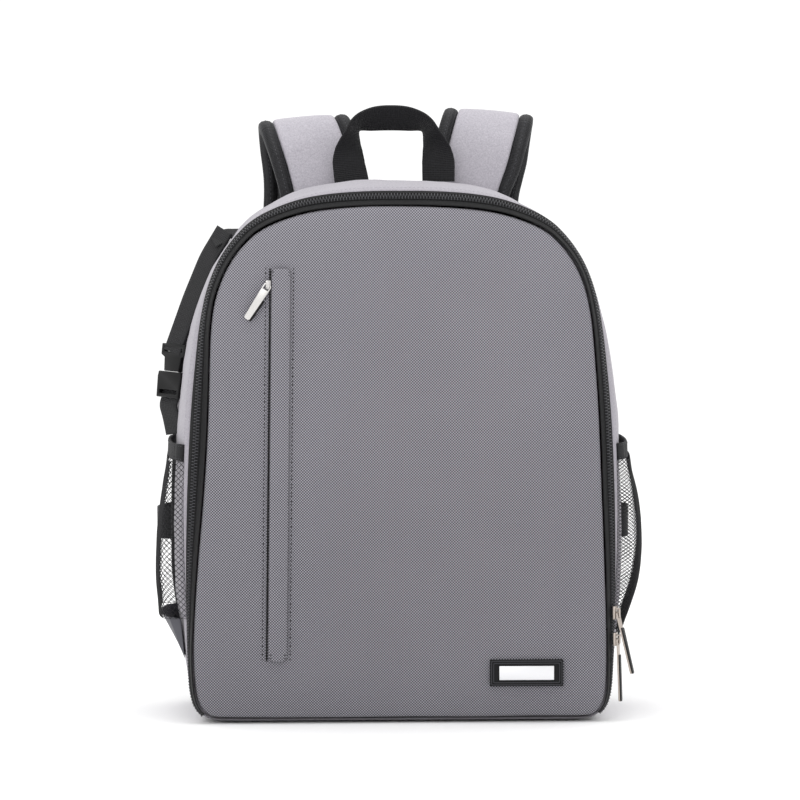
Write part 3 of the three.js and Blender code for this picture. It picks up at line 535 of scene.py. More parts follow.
class PackedSolid:
    """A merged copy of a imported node, which finer pieces are built on."""

    def __init__(self, node: str) -> None:
        """Reads the node and merges its loose triangles."""
        self.node = node
        self.bm = bmesh.new()
        self.bm.from_mesh(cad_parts[node].data)
        for layer in list(self.bm.loops.layers.uv):
            self.bm.loops.layers.uv.remove(layer)
        bmesh.ops.remove_doubles(self.bm, verts=self.bm.verts, dist=1e-3 * MM)

    def rings(self, size: int, start: Vector) -> list[list[bmesh.types.BMVert]]:
        """Gives the solid's cross-sections in order, each with its points in order.

        Args:
            size: How many points a cross-section has.
            start: A place near the first cross-section.

        Returns:
            Lists of points that follow each other along the solid.
        """
        caps = [v for v in self.bm.verts if len(v.link_faces) == size and self._flat(v)]
        cap = min(caps, key=lambda v: (v.co - start).length)
        first = self._neighbours(cap)
        ring = [first[0]]
        while len(ring) < size:
            near = self._neighbours(ring[-1])
            ring.append(next(v for v in near if v in first and v not in ring))
        found = [ring]
        seen = {cap, *ring}
        while True:
            steps = [[v for v in self._neighbours(p) if v not in seen] for p in ring]
            if any(len(step) != 2 for step in steps):
                return found
            choices = [[next(iter(set(steps[i]) & set(steps[(i + turn) % size])), None)
                        for i in range(size)] for turn in (1, -1)]
            whole = [c for c in choices if None not in c and len(set(c)) == size]
            ring = min(whole, key=lambda c: sum((a.co - b.co).length for a, b in zip(ring, c)))
            found.append(ring)
            seen.update(ring)

    @staticmethod
    def _neighbours(vert: bmesh.types.BMVert) -> list[bmesh.types.BMVert]:
        """The points joined to a point by an edge."""
        return [edge.other_vert(vert) for edge in vert.link_edges]

    @staticmethod
    def _flat(vert: bmesh.types.BMVert) -> bool:
        """Whether the faces round a point lie in one plane."""
        normals = [face.normal for face in vert.link_faces]
        return all(normals[0].dot(n) > 0.9999 for n in normals)

    def quads(self, size: int, start: Vector) -> BMesh:
        """Gives the mesh with the diagonals of its walls taken out, ready to be softened."""
        rings = self.rings(size, start)
        kept = set()
        for near, far in zip(rings, rings[1:]):
            kept.update(frozenset((a, b)) for a, b in zip(near, far))
        level = {v: i for i, ring in enumerate(rings) for v in ring}
        diagonals = [
            edge for edge in self.bm.edges
            if all(v in level for v in edge.verts)
            and level[edge.verts[0]] != level[edge.verts[1]]
            and frozenset(edge.verts) not in kept
        ]
        bmesh.ops.dissolve_edges(self.bm, edges=diagonals, use_verts=False)
        return self.bm

    def stations(self, size: int, start: Vector, facing: Vector) -> list[Station]:
        """Gives the frames of a swept solid's cross-sections.

        Args:
            size: How many points a cross-section has.
            start: A place near the first cross-section.
            facing: The rough direction that the first cross-section's outer face looks in.

        Returns:
            The stations in order.
        """
        found: list[Station] = []
        along = 0.0
        rings = [[v.co.copy() for v in ring] for ring in self.rings(size, start)]
        centres = [sum(ring, Vector()) / size for ring in rings]
        for i, (ring, centre) in enumerate(zip(rings, centres)):
            run = (centres[min(i + 1, len(rings) - 1)] - centres[max(i - 1, 0)]).normalized()
            edges = [ring[(k + 1) % size] - ring[k] for k in range(size)]
            across = max(edges, key=lambda d: d.length)
            across = (across - run * across.dot(run)).normalized()
            outward = run.cross(across).normalized()
            hint = found[-1].outward if found else facing
            if outward.dot(hint) < 0:
                outward, across = -outward, -across
            reach = max(abs((p - centre).dot(across)) for p in ring)
            depth = max(abs((p - centre).dot(outward)) for p in ring)
            along += (centre - centres[i - 1]).length if i else 0.0
            found.append(Station(centre, across, outward, reach, depth, along))
        self.bm.free()
        return found


def rounded_section(station: Station, radius: float, steps: int = 2,
                    bulge: float = 0.0) -> list[Vector]:
    """Gives a closed unit section, a rectangle with round corners and bulged faces.

    Args:
        station: The station whose sizes the radius is measured against.
        radius: The corner's radius in metres.
        steps: Steps in each corner.
        bulge: How far the middle of both faces swells, as a share of the half depth.

    Returns:
        Points from -1 to 1 in x and about -1 to 1 in y, anticlockwise.
    """
    rx = min(radius / station.half_width, 0.98)
    ry = min(radius / station.half_depth, 0.98)
    points = []
    for corner, (sx, sy) in enumerate(((1, -1), (1, 1), (-1, 1), (-1, -1))):
        for step in range(steps + 1):
            angle = (corner - 1 + step / steps) * math.pi / 2
            points.append(Vector((sx * (1 - rx) + rx * math.cos(angle),
                                  sy * (1 - ry) + ry * math.sin(angle), 0)))
        if corner in (1, 3):
            middle = [x * sy for x in (0.6, 0.2, -0.2, -0.6)]
            points.extend(Vector((x, sy * (1 + bulge * (1 - x * x)), 0)) for x in middle)
    return points


def sweep(stations: list[Station], section: list[Vector]) -> BMesh:
    """Sweeps a closed section along stations by extruding its edges, and caps both ends.

    Each point keeps its place across and along the strip in two attributes, in metres.

    Args:
        stations: The cross-sections' frames.
        section: Unit section points.

    Returns:
        The mesh.
    """
    bm = bmesh.new()
    across = bm.verts.layers.float.new("across")
    along = bm.verts.layers.float.new("along")
    first = stations[0]
    ring = []
    for point in section:
        vert = bm.verts.new(first.matrix @ point)
        vert[across] = point.x * first.half_width
        vert[along] = first.along
        ring.append(vert)
    edges = [bm.edges.new((ring[i], ring[(i + 1) % len(ring)])) for i in range(len(ring))]
    made = ring
    ends = [edges]
    for before, station in zip(stations, stations[1:]):
        grown = bmesh.ops.extrude_edge_only(bm, edges=edges)["geom"]
        old = set(made)
        verts = [v for v in grown if isinstance(v, bmesh.types.BMVert) and v not in old]
        bmesh.ops.transform(bm, matrix=station.matrix @ before.matrix.inverted(), verts=verts)
        for vert in verts:
            vert[along] = station.along
        fresh = set(verts)
        edges = [e for e in grown if isinstance(e, bmesh.types.BMEdge) and set(e.verts) <= fresh]
        made = verts
    ends.append(edges)
    bmesh.ops.edgeloop_fill(bm, edges=ends[0] + ends[1])
    bmesh.ops.recalc_face_normals(bm, faces=bm.faces)
    return bm


def strip(stations: list[Station], radius: float, steps: int = 2, bulge: float = 0.0) -> BMesh:
    """Sweeps a strip whose section is the first station's rounded one."""
    return sweep(stations, rounded_section(stations[0], radius, steps, bulge))


def spline(values: list[Vector], span: int, t: float, closed: bool = False) -> Vector:
    """Gives a point of a Catmull-Rom curve in one of its spans.

    Args:
        values: The points that the curve goes through.
        span: The span's number.
        t: The share of the way through the span.
        closed: Whether the last point joins the first.

    Returns:
        The point.
    """
    count = len(values)
    picks = [(span + k) % count if closed else min(max(span + k, 0), count - 1)
             for k in (-1, 0, 1, 2)]
    p0, p1, p2, p3 = (values[k] for k in picks)
    return 0.5 * (2 * p1 + (p2 - p0) * t + (2 * p0 - 5 * p1 + 4 * p2 - p3) * t * t
                  + (3 * p1 - p0 - 3 * p2 + p3) * t ** 3)


def smooth_line(points: list[Vector], times: int) -> list[Vector]:
    """Gives an open line with each span cut into smooth steps."""
    spans = range(len(points) - 1)
    fine = [spline(points, span, step / times) for span in spans for step in range(times)]
    return [*fine, points[-1].copy()]


def refined(stations: list[Station], times: int, closed: bool = False) -> list[Station]:
    """Puts smooth stations between the given ones.

    Args:
        stations: The coarse stations.
        times: How many steps each span is cut into.
        closed: Whether the last station joins the first.

    Returns:
        The finer stations, through the same places.
    """
    fine: list[Station] = []
    columns = [[getattr(s, name) for s in stations] for name in ("place", "across", "outward")]
    for span in range(len(stations) - (0 if closed else 1)):
        a = stations[span]
        b = stations[(span + 1) % len(stations)]
        length = (b.place - a.place).length
        for step in range(times):
            t = step / times
            place, across, outward = (spline(column, span, t, closed) for column in columns)
            fine.append(Station(
                place, across.normalized(), outward.normalized(),
                a.half_width + (b.half_width - a.half_width) * t,
                a.half_depth + (b.half_depth - a.half_depth) * t,
                a.along + length * t,
            ))
    return fine if closed else [*fine, stations[-1]]


def rounded_ends(stations: list[Station], radius: float) -> list[Station]:
    """Narrows both ends of a strip so that its corners are round.

    Args:
        stations: The strip's stations.
        radius: The corners' radius in metres.

    Returns:
        The stations with a few more at each end.
    """
    ends = []
    for line, sign in ((stations, 1), (stations[::-1], -1)):
        last = line[0]
        run = (line[1].place - last.place).normalized()
        rows = []
        for share in (0.0, 0.1, 0.3, 0.6, 1.0):
            narrower = radius * (1 - math.sqrt(1 - (1 - share) ** 2))
            rows.append(replace(last, place=last.place + run * radius * share,
                                half_width=last.half_width - narrower,
                                along=last.along + sign * radius * share))
        ends.append(rows)
    return [*ends[0], *stations[1:-1], *ends[1][::-1]]


def walk(points: Sequence[Vector], normals: Sequence[Vector],
         pitch: float) -> Iterable[tuple[Vector, Vector, Vector]]:
    """Walks a line in even steps.

    Args:
        points: The line's points.
        normals: The outward direction at each.
        pitch: The length of a step in metres.

    Yields:
        The place, the running direction and the outward direction at each step.
    """
    left = pitch / 2
    for i in range(len(points) - 1):
        gap = points[i + 1] - points[i]
        length = gap.length
        while left < length:
            t = left / length
            outward = normals[i].lerp(normals[i + 1], t).normalized()
            yield points[i].lerp(points[i + 1], t), gap.normalized(), outward
            left += pitch
        left -= length


@dataclass
class Stitching:
    """A row of sewn stitches, each a small bead that lies on the cloth."""

    pitch: float = 3.4 * MM
    length: float = 2.4 * MM
    width: float = 0.75 * MM
    height: float = 0.45 * MM
    bm: BMesh = field(default_factory=bmesh.new)

    def row(self, points: Sequence[Vector], normals: Sequence[Vector]) -> "Stitching":
        """Sews a row along a line and gives the stitching back."""
        for place, run, outward in walk(points, normals, self.pitch):
            across = run.cross(outward).normalized()
            matrix = placing(place, run * self.length / 2, across * self.width / 2,
                             across.cross(run) * self.height / 2)
            bmesh.ops.create_icosphere(self.bm, subdivisions=1, radius=1.0, matrix=matrix)
        return self

    def done(self, name: str, thread: Finish) -> bpy.types.Object:
        """Gives the rows as one piece."""
        return finished(name, self.bm, [thread])


class Surface:
    """A finished face that other pieces are seated on."""

    def __init__(self, bm: BMesh) -> None:
        """Reads the mesh, which may be freed afterwards."""
        self.tree = BVHTree.FromBMesh(bm)

    def toward(self, place: Vector, way: Vector) -> tuple[Vector, Vector]:
        """Gives the first point that is met from far outside, and its outward direction."""
        hit, normal, _, _ = self.tree.ray_cast(place - way, way)
        return (hit, normal) if hit else self.nearest(place)

    def nearest(self, place: Vector) -> tuple[Vector, Vector]:
        """Gives the nearest point, and its outward direction."""
        hit, normal, _, _ = self.tree.find_nearest(place)
        return hit, normal


def softened(bm: BMesh, levels: int) -> BMesh:
    """Gives a coarse form subdivided into a smooth one.

    Args:
        bm: The coarse form, which is freed.
        levels: How many times each face is split.

    Returns:
        The smooth form.
    """
    mesh = bpy.data.meshes.new("coarse")
    bm.to_mesh(mesh)
    bm.free()
    coarse = placed_object(mesh, levels)
    smooth = bmesh.new()
    smooth.from_object(coarse, bpy.context.evaluated_depsgraph_get())
    bpy.data.objects.remove(coarse)
    bpy.data.meshes.remove(mesh)
    return smooth


def gridded(bm: BMesh, middle: Vector, pitch: float) -> None:
    """Cuts a flat cap, made of triangles round one point, into a grid.

    Args:
        bm: The mesh.
        middle: A place near the cap's middle point.
        pitch: The grid's spacing in metres.
    """
    hub = min(bm.verts, key=lambda v: (v.co - middle).length)
    spokes = set(hub.link_edges)
    rim = {edge.other_vert(hub) for edge in spokes}
    bmesh.ops.dissolve_verts(bm, verts=[hub])
    cap = max((f for f in bm.faces if set(f.verts) >= rim), key=lambda f: f.calc_area())
    corners = [v.co.copy() for v in cap.verts]
    faces = [cap]
    for axis in (0, 2):
        low = min(c[axis] for c in corners)
        high = max(c[axis] for c in corners)
        count = round((high - low) / pitch)
        normal = Vector((1, 0, 0)) if axis == 0 else UP
        for step in range(1, count):
            place = normal * (low + (high - low) * step / count)
            geom = list({item for f in faces for item in (f, *f.edges, *f.verts)})
            cut = bmesh.ops.bisect_plane(bm, geom=geom, dist=pitch * 1e-4, plane_co=place,
                                         plane_no=normal)
            faces = [g for g in cut["geom"] if isinstance(g, bmesh.types.BMFace)]


def flattened(node: str) -> BMesh:
    """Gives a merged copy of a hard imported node, its flat faces whole."""
    bm = PackedSolid(node).bm
    bmesh.ops.dissolve_limit(bm, angle_limit=0.02, verts=bm.verts, edges=bm.edges)
    bm.normal_update()
    return bm


def bevelled(node: str, width: float, segments: int = 2) -> BMesh:
    """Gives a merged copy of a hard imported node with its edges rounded."""
    bm = flattened(node)
    round_edges(bm, width, segments=segments)
    return bm


# Sub-assemblies


@dataclass
class BodyShell:
    """The padded tub: gusset, base and back wall, hollow behind the front panel."""

    points: int = 64
    inner_middle: Vector = field(default_factory=lambda: Vector((0, 54, 190)) * MM)
    crumple_depth: float = 1.5 * MM
    crumple_size: float = 42 * MM
    held_front: float = -58 * MM  # the zip's seam holds the cloth flat in front of this depth
    free_depth: float = -25 * MM  # behind this depth it is free
    # height under which the front of the base is painted with shade
    painted_shade_height: float = 4.5 * MM
    top_start: float = 300 * MM  # the height from which the top's foam swells
    top_rise: float = 40 * MM
    top_depth: float = 115 * MM
    top_swell: float = 1.6 * MM
    seam_row: int = 6
    seam_start: float = 30 * MM
    seam_lift: float = 0.6 * MM

    def build(self) -> Surface:
        """Makes the shell and its seams, and gives its face."""
        solid = PackedSolid("body_shell")
        rims = [v.co.copy() for v in solid.rings(self.points, self.inner_middle)[self.seam_row]]
        bm = softened(solid.quads(self.points, self.inner_middle), 2)
        crumple(bm, self.crumple_depth, self.crumple_size, self.slack)
        crumple(bm, self.crumple_depth * 0.3, self.crumple_size * 0.3, self.slack)
        self.swell(bm)
        # the front of the base next to the floor takes the darker cloth: painted shade under the
        # bag
        for part in bm.faces:
            middle = part.calc_center_median()
            part.material_index = int(middle.z < self.painted_shade_height and middle.y < self.free_depth)
        face = Surface(bm)
        shell = finished("body_shell_cloth", bm, [GUSSET_CLOTH, PAINTED_SHADE_CLOTH], replaces=["body_shell"])
        self.sew(rims, face)
        return face

    def swell(self, bm: BMesh) -> None:
        """Lets the foam of the top stand up between its front and back seams."""
        bm.normal_update()
        for vert in bm.verts:
            high = ramp(vert.co.z, self.top_start, self.top_rise)
            deep = ramp(vert.co.y, self.held_front, self.top_depth)
            if abs(vert.normal.y) < 0.5:
                vert.co += vert.normal * self.top_swell * high * math.sin(math.pi * deep ** 1.6)

    def slack(self, place: Vector) -> float:
        """Gives how free the cloth is at a place, from 0 to 1."""
        return ramp(place.y, self.held_front, self.free_depth - self.held_front)

    def sew(self, rims: list[Vector], face: Surface) -> None:
        """Sews the row of stitches beside the zip."""
        lowest = min(range(len(rims)), key=lambda i: rims[i].z)
        turned = rims[lowest:] + rims[:lowest]
        line = smooth_line([p for p in turned if p.z > self.seam_start], 6)
        seats = [face.nearest(p + BACK * self.seam_lift) for p in line]
        rows = Stitching(pitch=3.2 * MM, length=2.2 * MM)
        rows.row(*zip(*seats)).done("gusset_stitches", GREY_THREAD)


@dataclass
class FrontPanel:
    """The padded clamshell lid with its rounded, slightly crowned face."""

    points: int = 64
    face_middle: Vector = field(default_factory=lambda: Vector((0, -77, 190)) * MM)
    grid: float = 16 * MM
    crumple_depth: float = 0.7 * MM
    crumple_size: float = 60 * MM

    def build(self) -> Surface:
        """Makes the panel and gives its face."""
        bm = PackedSolid("front_panel").quads(self.points, self.face_middle)
        gridded(bm, self.face_middle, self.grid)
        bm = softened(bm, 2)
        crumple(bm, self.crumple_depth, self.crumple_size)
        face = Surface(bm)
        panel = finished("front_panel_cloth", bm, [PANEL_CLOTH], replaces=["front_panel"])
        return face


@dataclass
class MainZip:
    """The zip round the lid: two tapes and a coil of two interlocked rows."""

    start: Vector = field(default_factory=lambda: Vector((157, -70, 4)) * MM)
    facing: Vector = field(default_factory=lambda: Vector((1, -0.3, 0)))
    pitch: float = 2.3 * MM
    wire: float = 0.42 * MM

    def build(self) -> None:
        """Makes the tapes and the coil."""
        for node in ("zip_tape_body", "zip_tape_panel"):
            stations = refined(PackedSolid(node).stations(4, self.start, self.facing), 5)
            bm = strip(stations, 0.35 * MM, 1)
            finished(f"{node}_cloth", bm, [ZIP_TAPE], replaces=[node])
        stations = refined(PackedSolid("zip_coil").stations(6, self.start, self.facing), 6)
        finished("zip_coil_rows", self.coil(stations), [NYLON, ZIP_TAPE], replaces=["zip_coil"])

    def coil(self, stations: list[Station]) -> BMesh:
        """Makes the core tape and the two rows of turns on it."""
        core = [replace(s, place=s.at(0, -s.half_depth * 0.35), half_depth=s.half_depth * 0.5)
                for s in stations]
        bm = strip(core, 0.3 * MM, 1)
        for face in bm.faces:
            face.material_index = 1
        places = [s.place for s in stations]
        outwards = [s.outward for s in stations]
        half = stations[0].half_width
        top = stations[0].half_depth * 0.55
        for count, (place, run, outward) in enumerate(walk(places, outwards, self.pitch / 2)):
            across = run.cross(outward).normalized()
            side = 1 if count % 2 else -1
            middle = place + across * side * half * 0.42 + outward * top
            turned = placing(middle, run, outward, across)
            bmesh.ops.create_cone(bm, cap_ends=True, segments=6, radius1=self.wire,
                                  radius2=self.wire, depth=half * 1.05, matrix=turned)
        return bm


@dataclass
class BackPanel:
    """The wearer's side: the air-mesh pad and the piping round the rear edge."""

    points: int = 64
    near_middle: Vector = field(default_factory=lambda: Vector((0, 62, 190)) * MM)
    puff: float = 1.2 * MM
    puff_size: float = 55 * MM
    puff_from: float = 70 * MM
    sides: int = 10
    ring_gap: float = 2.5 * MM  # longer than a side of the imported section, shorter than its steps
    cord: float = 2.2 * MM
    tucked_from: float = 290 * MM  # above this height the top's foam hides it from the front
    tuck_rise: float = 50 * MM
    tuck: float = 2.6 * MM

    def build(self) -> None:
        """Makes the pad and the piping."""
        bm = softened(PackedSolid("back_pad").quads(self.points, self.near_middle), 2)
        crumple(bm, self.puff, self.puff_size, lambda place: float(place.y > self.puff_from))
        pad = finished("back_pad_mesh", bm, [SPACER], replaces=["back_pad"])
        self.piping()

    def piping(self) -> None:
        """Makes the bound edge as a closed sweep."""
        solid = PackedSolid("back_piping")
        left = set(solid.bm.verts)
        centres = []
        while left:
            ring = {left.pop()}
            grown = set(ring)
            while grown:
                grown = {e.other_vert(v) for v in grown for e in v.link_edges
                         if e.calc_length() < self.ring_gap}
                grown -= ring
                ring |= grown
            left -= ring
            centres.append(sum((v.co for v in ring), Vector()) / len(ring))
        solid.bm.free()
        middle = sum(centres, Vector()) / len(centres)
        centres.sort(key=lambda c: math.atan2(c.z - middle.z, c.x - middle.x))
        stations = []
        along = 0.0
        for i, centre in enumerate(centres):
            hidden = ramp(centre.z, self.tucked_from, self.tuck_rise)
            radius = self.cord * (1 - 0.3 * hidden)
            run = (centres[(i + 1) % len(centres)] - centres[i - 1]).normalized()
            along += (centre - centres[i - 1]).length if i else 0.0
            inward = run.cross(BACK).normalized()
            inward = inward if inward.dot(middle - centre) > 0 else -inward
            place = centre + inward * self.tuck * hidden
            stations.append(Station(place, BACK, inward, radius, radius, along))
        fine = refined(stations, 4, closed=True)
        fine.append(fine[0])
        angles = [k * math.tau / self.sides for k in range(self.sides)]
        bm = sweep(fine, [Vector((math.cos(a), math.sin(a), 0)) for a in angles])
        finished("back_piping_binding", bm, [BINDING], replaces=["back_piping"])


@dataclass
class FrontPocket:
    """The front pocket's mouth: a cloth flap over its zip, with stitched edges and tacks."""

    panel: Surface
    start: Vector = field(default_factory=lambda: Vector((-93, -77, 48)) * MM)
    seam_out: float = 2.4 * MM
    zip_seam_out: float = 4.4 * MM
    lift: float = 0.5 * MM
    plump: float = 1.5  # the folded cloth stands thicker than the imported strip
    corner: float = 3.5 * MM
    fold: float = 0.8 * MM
    puff: float = 0.6
    zip_share: float = 0.6  # the part of the zip's width that the flap leaves to be seen
    tooth: float = 0.4 * MM
    tacks: tuple[float, ...] = (2.5 * MM, 5 * MM)  # how far in from each end they lie

    def build(self) -> None:
        """Makes the flap, the zip under it and the stitching."""
        fine = refined(self.seated(PackedSolid("pocket_flap").stations(4, self.start, FRONT)), 4)
        section = rounded_section(fine[0], self.fold, bulge=self.puff)
        bm = sweep(rounded_ends(fine, self.corner), section)
        bm.normal_update()
        # faces that turn away from the front take the darker cloth: painted shade along the flap's
        # edges
        for face in bm.faces:
            face.material_index = int(face.normal.dot(FRONT) < 0.8)
        finished("pocket_flap_cloth", bm, [PANEL_CLOTH, PAINTED_SHADE_CLOTH], replaces=["pocket_flap"])
        packed = refined(PackedSolid("pocket_zip").stations(4, self.start, FRONT), 4)
        zips = [replace(s, half_width=s.half_width * self.zip_share) for s in packed]
        bm = strip(zips, 0.3 * MM, 1)
        self.teeth(bm, zips)
        finished("pocket_zip_coil", bm, [ZIP_TAPE], replaces=["pocket_zip"])
        self.sew(fine)

    def seated(self, stations: list[Station]) -> list[Station]:
        """Sets the flap's stations down on the panel."""
        down = []
        for s in stations:
            hit, _ = self.panel.toward(s.place, BACK)
            depth = s.half_depth * self.plump
            place = Vector((s.place.x, hit.y - self.lift - depth, s.place.z))
            down.append(replace(s, place=place, half_depth=depth))
        return down

    def teeth(self, bm: BMesh, zips: list[Station]) -> None:
        """Adds the pocket zip's coil."""
        rise = zips[0].half_depth * 0.8
        for place, run, outward in walk([s.place for s in zips], [s.outward for s in zips],
                                        1.3 * MM):
            across = run.cross(outward).normalized()
            turned = placing(place + outward * rise, run, outward, across)
            bmesh.ops.create_cone(bm, cap_ends=True, segments=6, radius1=self.tooth,
                                  radius2=self.tooth, depth=zips[0].half_width * 1.3,
                                  matrix=turned)

    def sew(self, flap: list[Station]) -> None:
        """Sews a row beside each edge of the flap, and the bar tacks over its ends."""
        rows = Stitching(pitch=3.2 * MM, length=2.2 * MM, width=1.0 * MM)
        edge = flap[0].half_width
        sideways = 1 if flap[0].across.x > 0 else -1
        for out in (edge + self.seam_out, -edge - self.zip_seam_out):
            rows.row(*zip(*(self.panel.toward(s.at(out * sideways, 0), BACK) for s in flap)))
        rows.done("pocket_stitches", DARK_THREAD)
        tack = Stitching(pitch=1.1 * MM, length=2.6 * MM, width=0.8 * MM, height=0.6 * MM)
        ends = sorted((flap[0], flap[-1]), key=lambda s: -s.place.z)
        for near, way in zip(ends, (-1, 1)):
            for inset in self.tacks:
                row = [near.at(share * edge * 0.85, near.half_depth * 1.15) + UP * inset * way
                       for share in (-1, 0, 1)]
                tack.row(row, [near.outward] * 3)
        tack.done("pocket_bar_tack", DARK_THREAD)


@dataclass
class Label:
    """The rubber patch with its two raised frames, and the bare brushed plate in it."""

    frames: tuple[float, ...] = (0.7 * MM, 2.3 * MM)  # how far in from the edge each one lies
    band: float = 0.8 * MM
    corner: float = 1.4 * MM
    rise: float = 0.5 * MM

    def build(self) -> None:
        """Makes the patch and the plate."""
        bm = flattened("label_patch")
        fronts = [f for f in bm.faces if f.normal.dot(FRONT) > 0.9]
        outward = fronts[0].normal.copy()
        right = UP.cross(outward).normalized()
        upward = outward.cross(right)
        corners = [v.co.copy() for f in fronts for v in f.verts]
        spans = [(min(c.dot(d) for c in corners), max(c.dot(d) for c in corners))
                 for d in (right, upward, outward)]
        middle = sum((d * (low + high) / 2 for d, (low, high) in zip((right, upward), spans)),
                     Vector())
        place = placing(middle + outward * spans[2][1], right, upward, outward)
        round_edges(bm, 0.22 * MM, 0.5)
        finished("label_patch_rubber", bm, [RUBBER], replaces=["label_patch"])
        width, height = (high - low for low, high in spans[:2])
        finished("label_patch_frames", self.raised(width, height, place), [RUBBER_RIM])
        plate = bevelled("label_plate", 0.2 * MM)
        finished("label_plate_bare", plate, [BRUSHED], replaces=["label_plate"])

    def raised(self, width: float, height: float, place: Matrix) -> BMesh:
        """Makes the raised frames.

        Args:
            width: The patch's width.
            height: Its height.
            place: The matrix that lays local x and y on the patch.

        Returns:
            The frames' mesh.
        """
        bm = bmesh.new()
        for inset in self.frames:
            size = Matrix.Diagonal((width - 2 * inset, height - 2 * inset, 1, 1))
            grown = bmesh.ops.create_grid(bm, x_segments=1, y_segments=1, size=0.5, matrix=size)
            rounded = bmesh.ops.bevel(bm, geom=grown["verts"], offset=self.corner, segments=3,
                                      profile=0.5, affect="VERTICES", material=-1)
            inner = next(f for f in bm.faces if set(f.verts) & set(rounded["verts"]))
            ring = bmesh.ops.inset_individual(bm, faces=[inner], thickness=self.band,
                                              use_even_offset=True)["faces"]
            bmesh.ops.delete(bm, geom=[inner], context="FACES_ONLY")
            lifted = bmesh.ops.extrude_face_region(bm, geom=ring)["geom"]
            verts = [g for g in lifted if isinstance(g, bmesh.types.BMVert)]
            bmesh.ops.translate(bm, verts=verts, vec=(0, 0, self.rise))
        bmesh.ops.recalc_face_normals(bm, faces=bm.faces)
        round_edges(bm, 0.15 * MM, 0.6)
        bmesh.ops.transform(bm, matrix=place, verts=bm.verts)
        return bm


@dataclass
class GrabHandle:
    """The webbing loop on the top, turned over at its crest."""

    start: Vector = field(default_factory=lambda: Vector((-34, 55, 399)) * MM)
    facing: Vector = field(default_factory=lambda: Vector((-0.3, -1, 0)))
    edge: float = 0.8 * MM

    def build(self) -> None:
        """Makes the webbing."""
        fine = refined(PackedSolid("grab_handle").stations(4, self.start, self.facing), 5)
        bm = strip(fine, self.edge)
        finished("grab_handle_webbing", bm, [WEBBING], replaces=["grab_handle"])


@dataclass
class ShoulderStrap:
    """A padded shoulder strap with its bound edges, adjuster and webbing."""

    side: Side
    root: Vector = field(default_factory=lambda: Vector((52, 70, 385)) * MM)
    end: Vector = field(default_factory=lambda: Vector((124, 113, 170)) * MM)
    crown: float = 0.12
    edge: float = 3.2 * MM
    puff: float = 0.5 * MM
    puff_size: float = 24 * MM
    sway: dict[Side, float] = field(
        default_factory=lambda: {Side.LEFT: 0.0, Side.RIGHT: 6 * MM})
    sway_from: float = 385 * MM
    sway_rise: float = 30 * MM
    tape: tuple[float, float] = (0.5 * MM, 0.4 * MM)  # how much the folded tape adds
    tape_edge: float = 2.6 * MM
    ridge: float = 0.16
    ridge_width: float = 0.22

    def build(self) -> None:
        """Makes every piece of the strap."""
        root, end = (Vector((p.x * self.side.value, p.y, p.z)) for p in (self.root, self.end))
        word = self.side.word
        pad = self.swayed(PackedSolid(f"shoulder_strap_{word}").stations(8, root, FRONT))
        self.pad(pad, f"shoulder_strap_{word}")
        for way in ("outer", "inner"):
            self.binding(pad, f"strap_binding_{way}_{word}", root)
        adjuster = f"strap_adjuster_{word}"
        finished(f"{adjuster}_moulded", bevelled(adjuster, 0.9 * MM, 3), [ACETAL],
                 replaces=[adjuster])
        webbing = f"strap_webbing_{word}"
        bm = strip(refined(PackedSolid(webbing).stations(4, end, FRONT), 5), 0.7 * MM)
        finished(f"{webbing}_ribbed", bm, [WEBBING], replaces=[webbing])

    def swayed(self, stations: list[Station], way: int = 1) -> list[Station]:
        """Leans the strap's crest sideways, as a soft strap stands, or back with a way of -1."""
        leaning = []
        for s in stations:
            high = ramp(s.place.z, self.sway_from, self.sway_rise)
            move = Vector((way * self.sway[self.side] * high, 0, 0))
            leaning.append(replace(s, place=s.place + move))
        return leaning

    def pad(self, stations: list[Station], node: str) -> None:
        """Makes the foam pad, cloth outside and spacer mesh inside."""
        fine = refined(stations, 4)
        bm = strip(fine, self.edge, 3, self.crown)
        for face in bm.faces:
            middle = face.calc_center_median()
            near = min(fine[::4], key=lambda s: (s.place - middle).length)
            inside = (middle - near.place).dot(near.outward) <= -near.half_depth * 0.3
            face.material_index = int(inside)
        bmesh.ops.smooth_vert(bm, verts=bm.verts, factor=0.1, use_axis_x=True, use_axis_y=True,
                              use_axis_z=True)
        crumple(bm, self.puff, self.puff_size)
        pad = finished(f"{node}_pad", bm, [LIT_STRAP_CLOTH, SPACER], replaces=[node], levels=1)

    def binding(self, pad: list[Station], node: str, root: Vector) -> None:
        """Makes a bound edge: tape folded round the pad's rim, with a ridge where it is sewn.

        Args:
            pad: The pad's leaning stations.
            node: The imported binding.
            root: A place near its first cross-section.
        """
        solid = PackedSolid(node)
        rings = [[v.co.copy() for v in ring] for ring in solid.rings(6, root)]
        solid.bm.free()
        stations = []
        for ring, guide in zip(rings, self.swayed(pad, -1)):
            across = [(p - guide.place).dot(guide.across) for p in ring]
            outward = [(p - guide.place).dot(guide.outward) for p in ring]
            spans = [(min(line), max(line)) for line in (across, outward)]
            width, depth = ((high - low) / 2 + more for (low, high), more in zip(spans, self.tape))
            place = guide.at(*((low + high) / 2 for low, high in spans))
            stations.append(replace(guide, place=place, half_width=width, half_depth=depth))
        fine = refined(self.swayed(stations), 4)
        section = []
        for point in rounded_section(fine[0], self.tape_edge, 3, bulge=0.1):
            ridge = self.ridge * math.exp(-(point.x / self.ridge_width) ** 2)
            taller = Vector((point.x, point.y * (1 + ridge), 0))
            section.append(taller if abs(point.y) > 0.9 else point)
        finished(f"{node}_tape", sweep(fine, section), [BINDING], replaces=[node])
        rows = Stitching(pitch=3.4 * MM, length=2.3 * MM, width=0.6 * MM, height=0.5 * MM)
        for face in (1, -1):
            line = [s.at(0, face * s.half_depth * 1.2) for s in fine]
            rows.row(line, [s.outward * face for s in fine])
        rows.done(f"{node}_stitches", BLACK_THREAD)


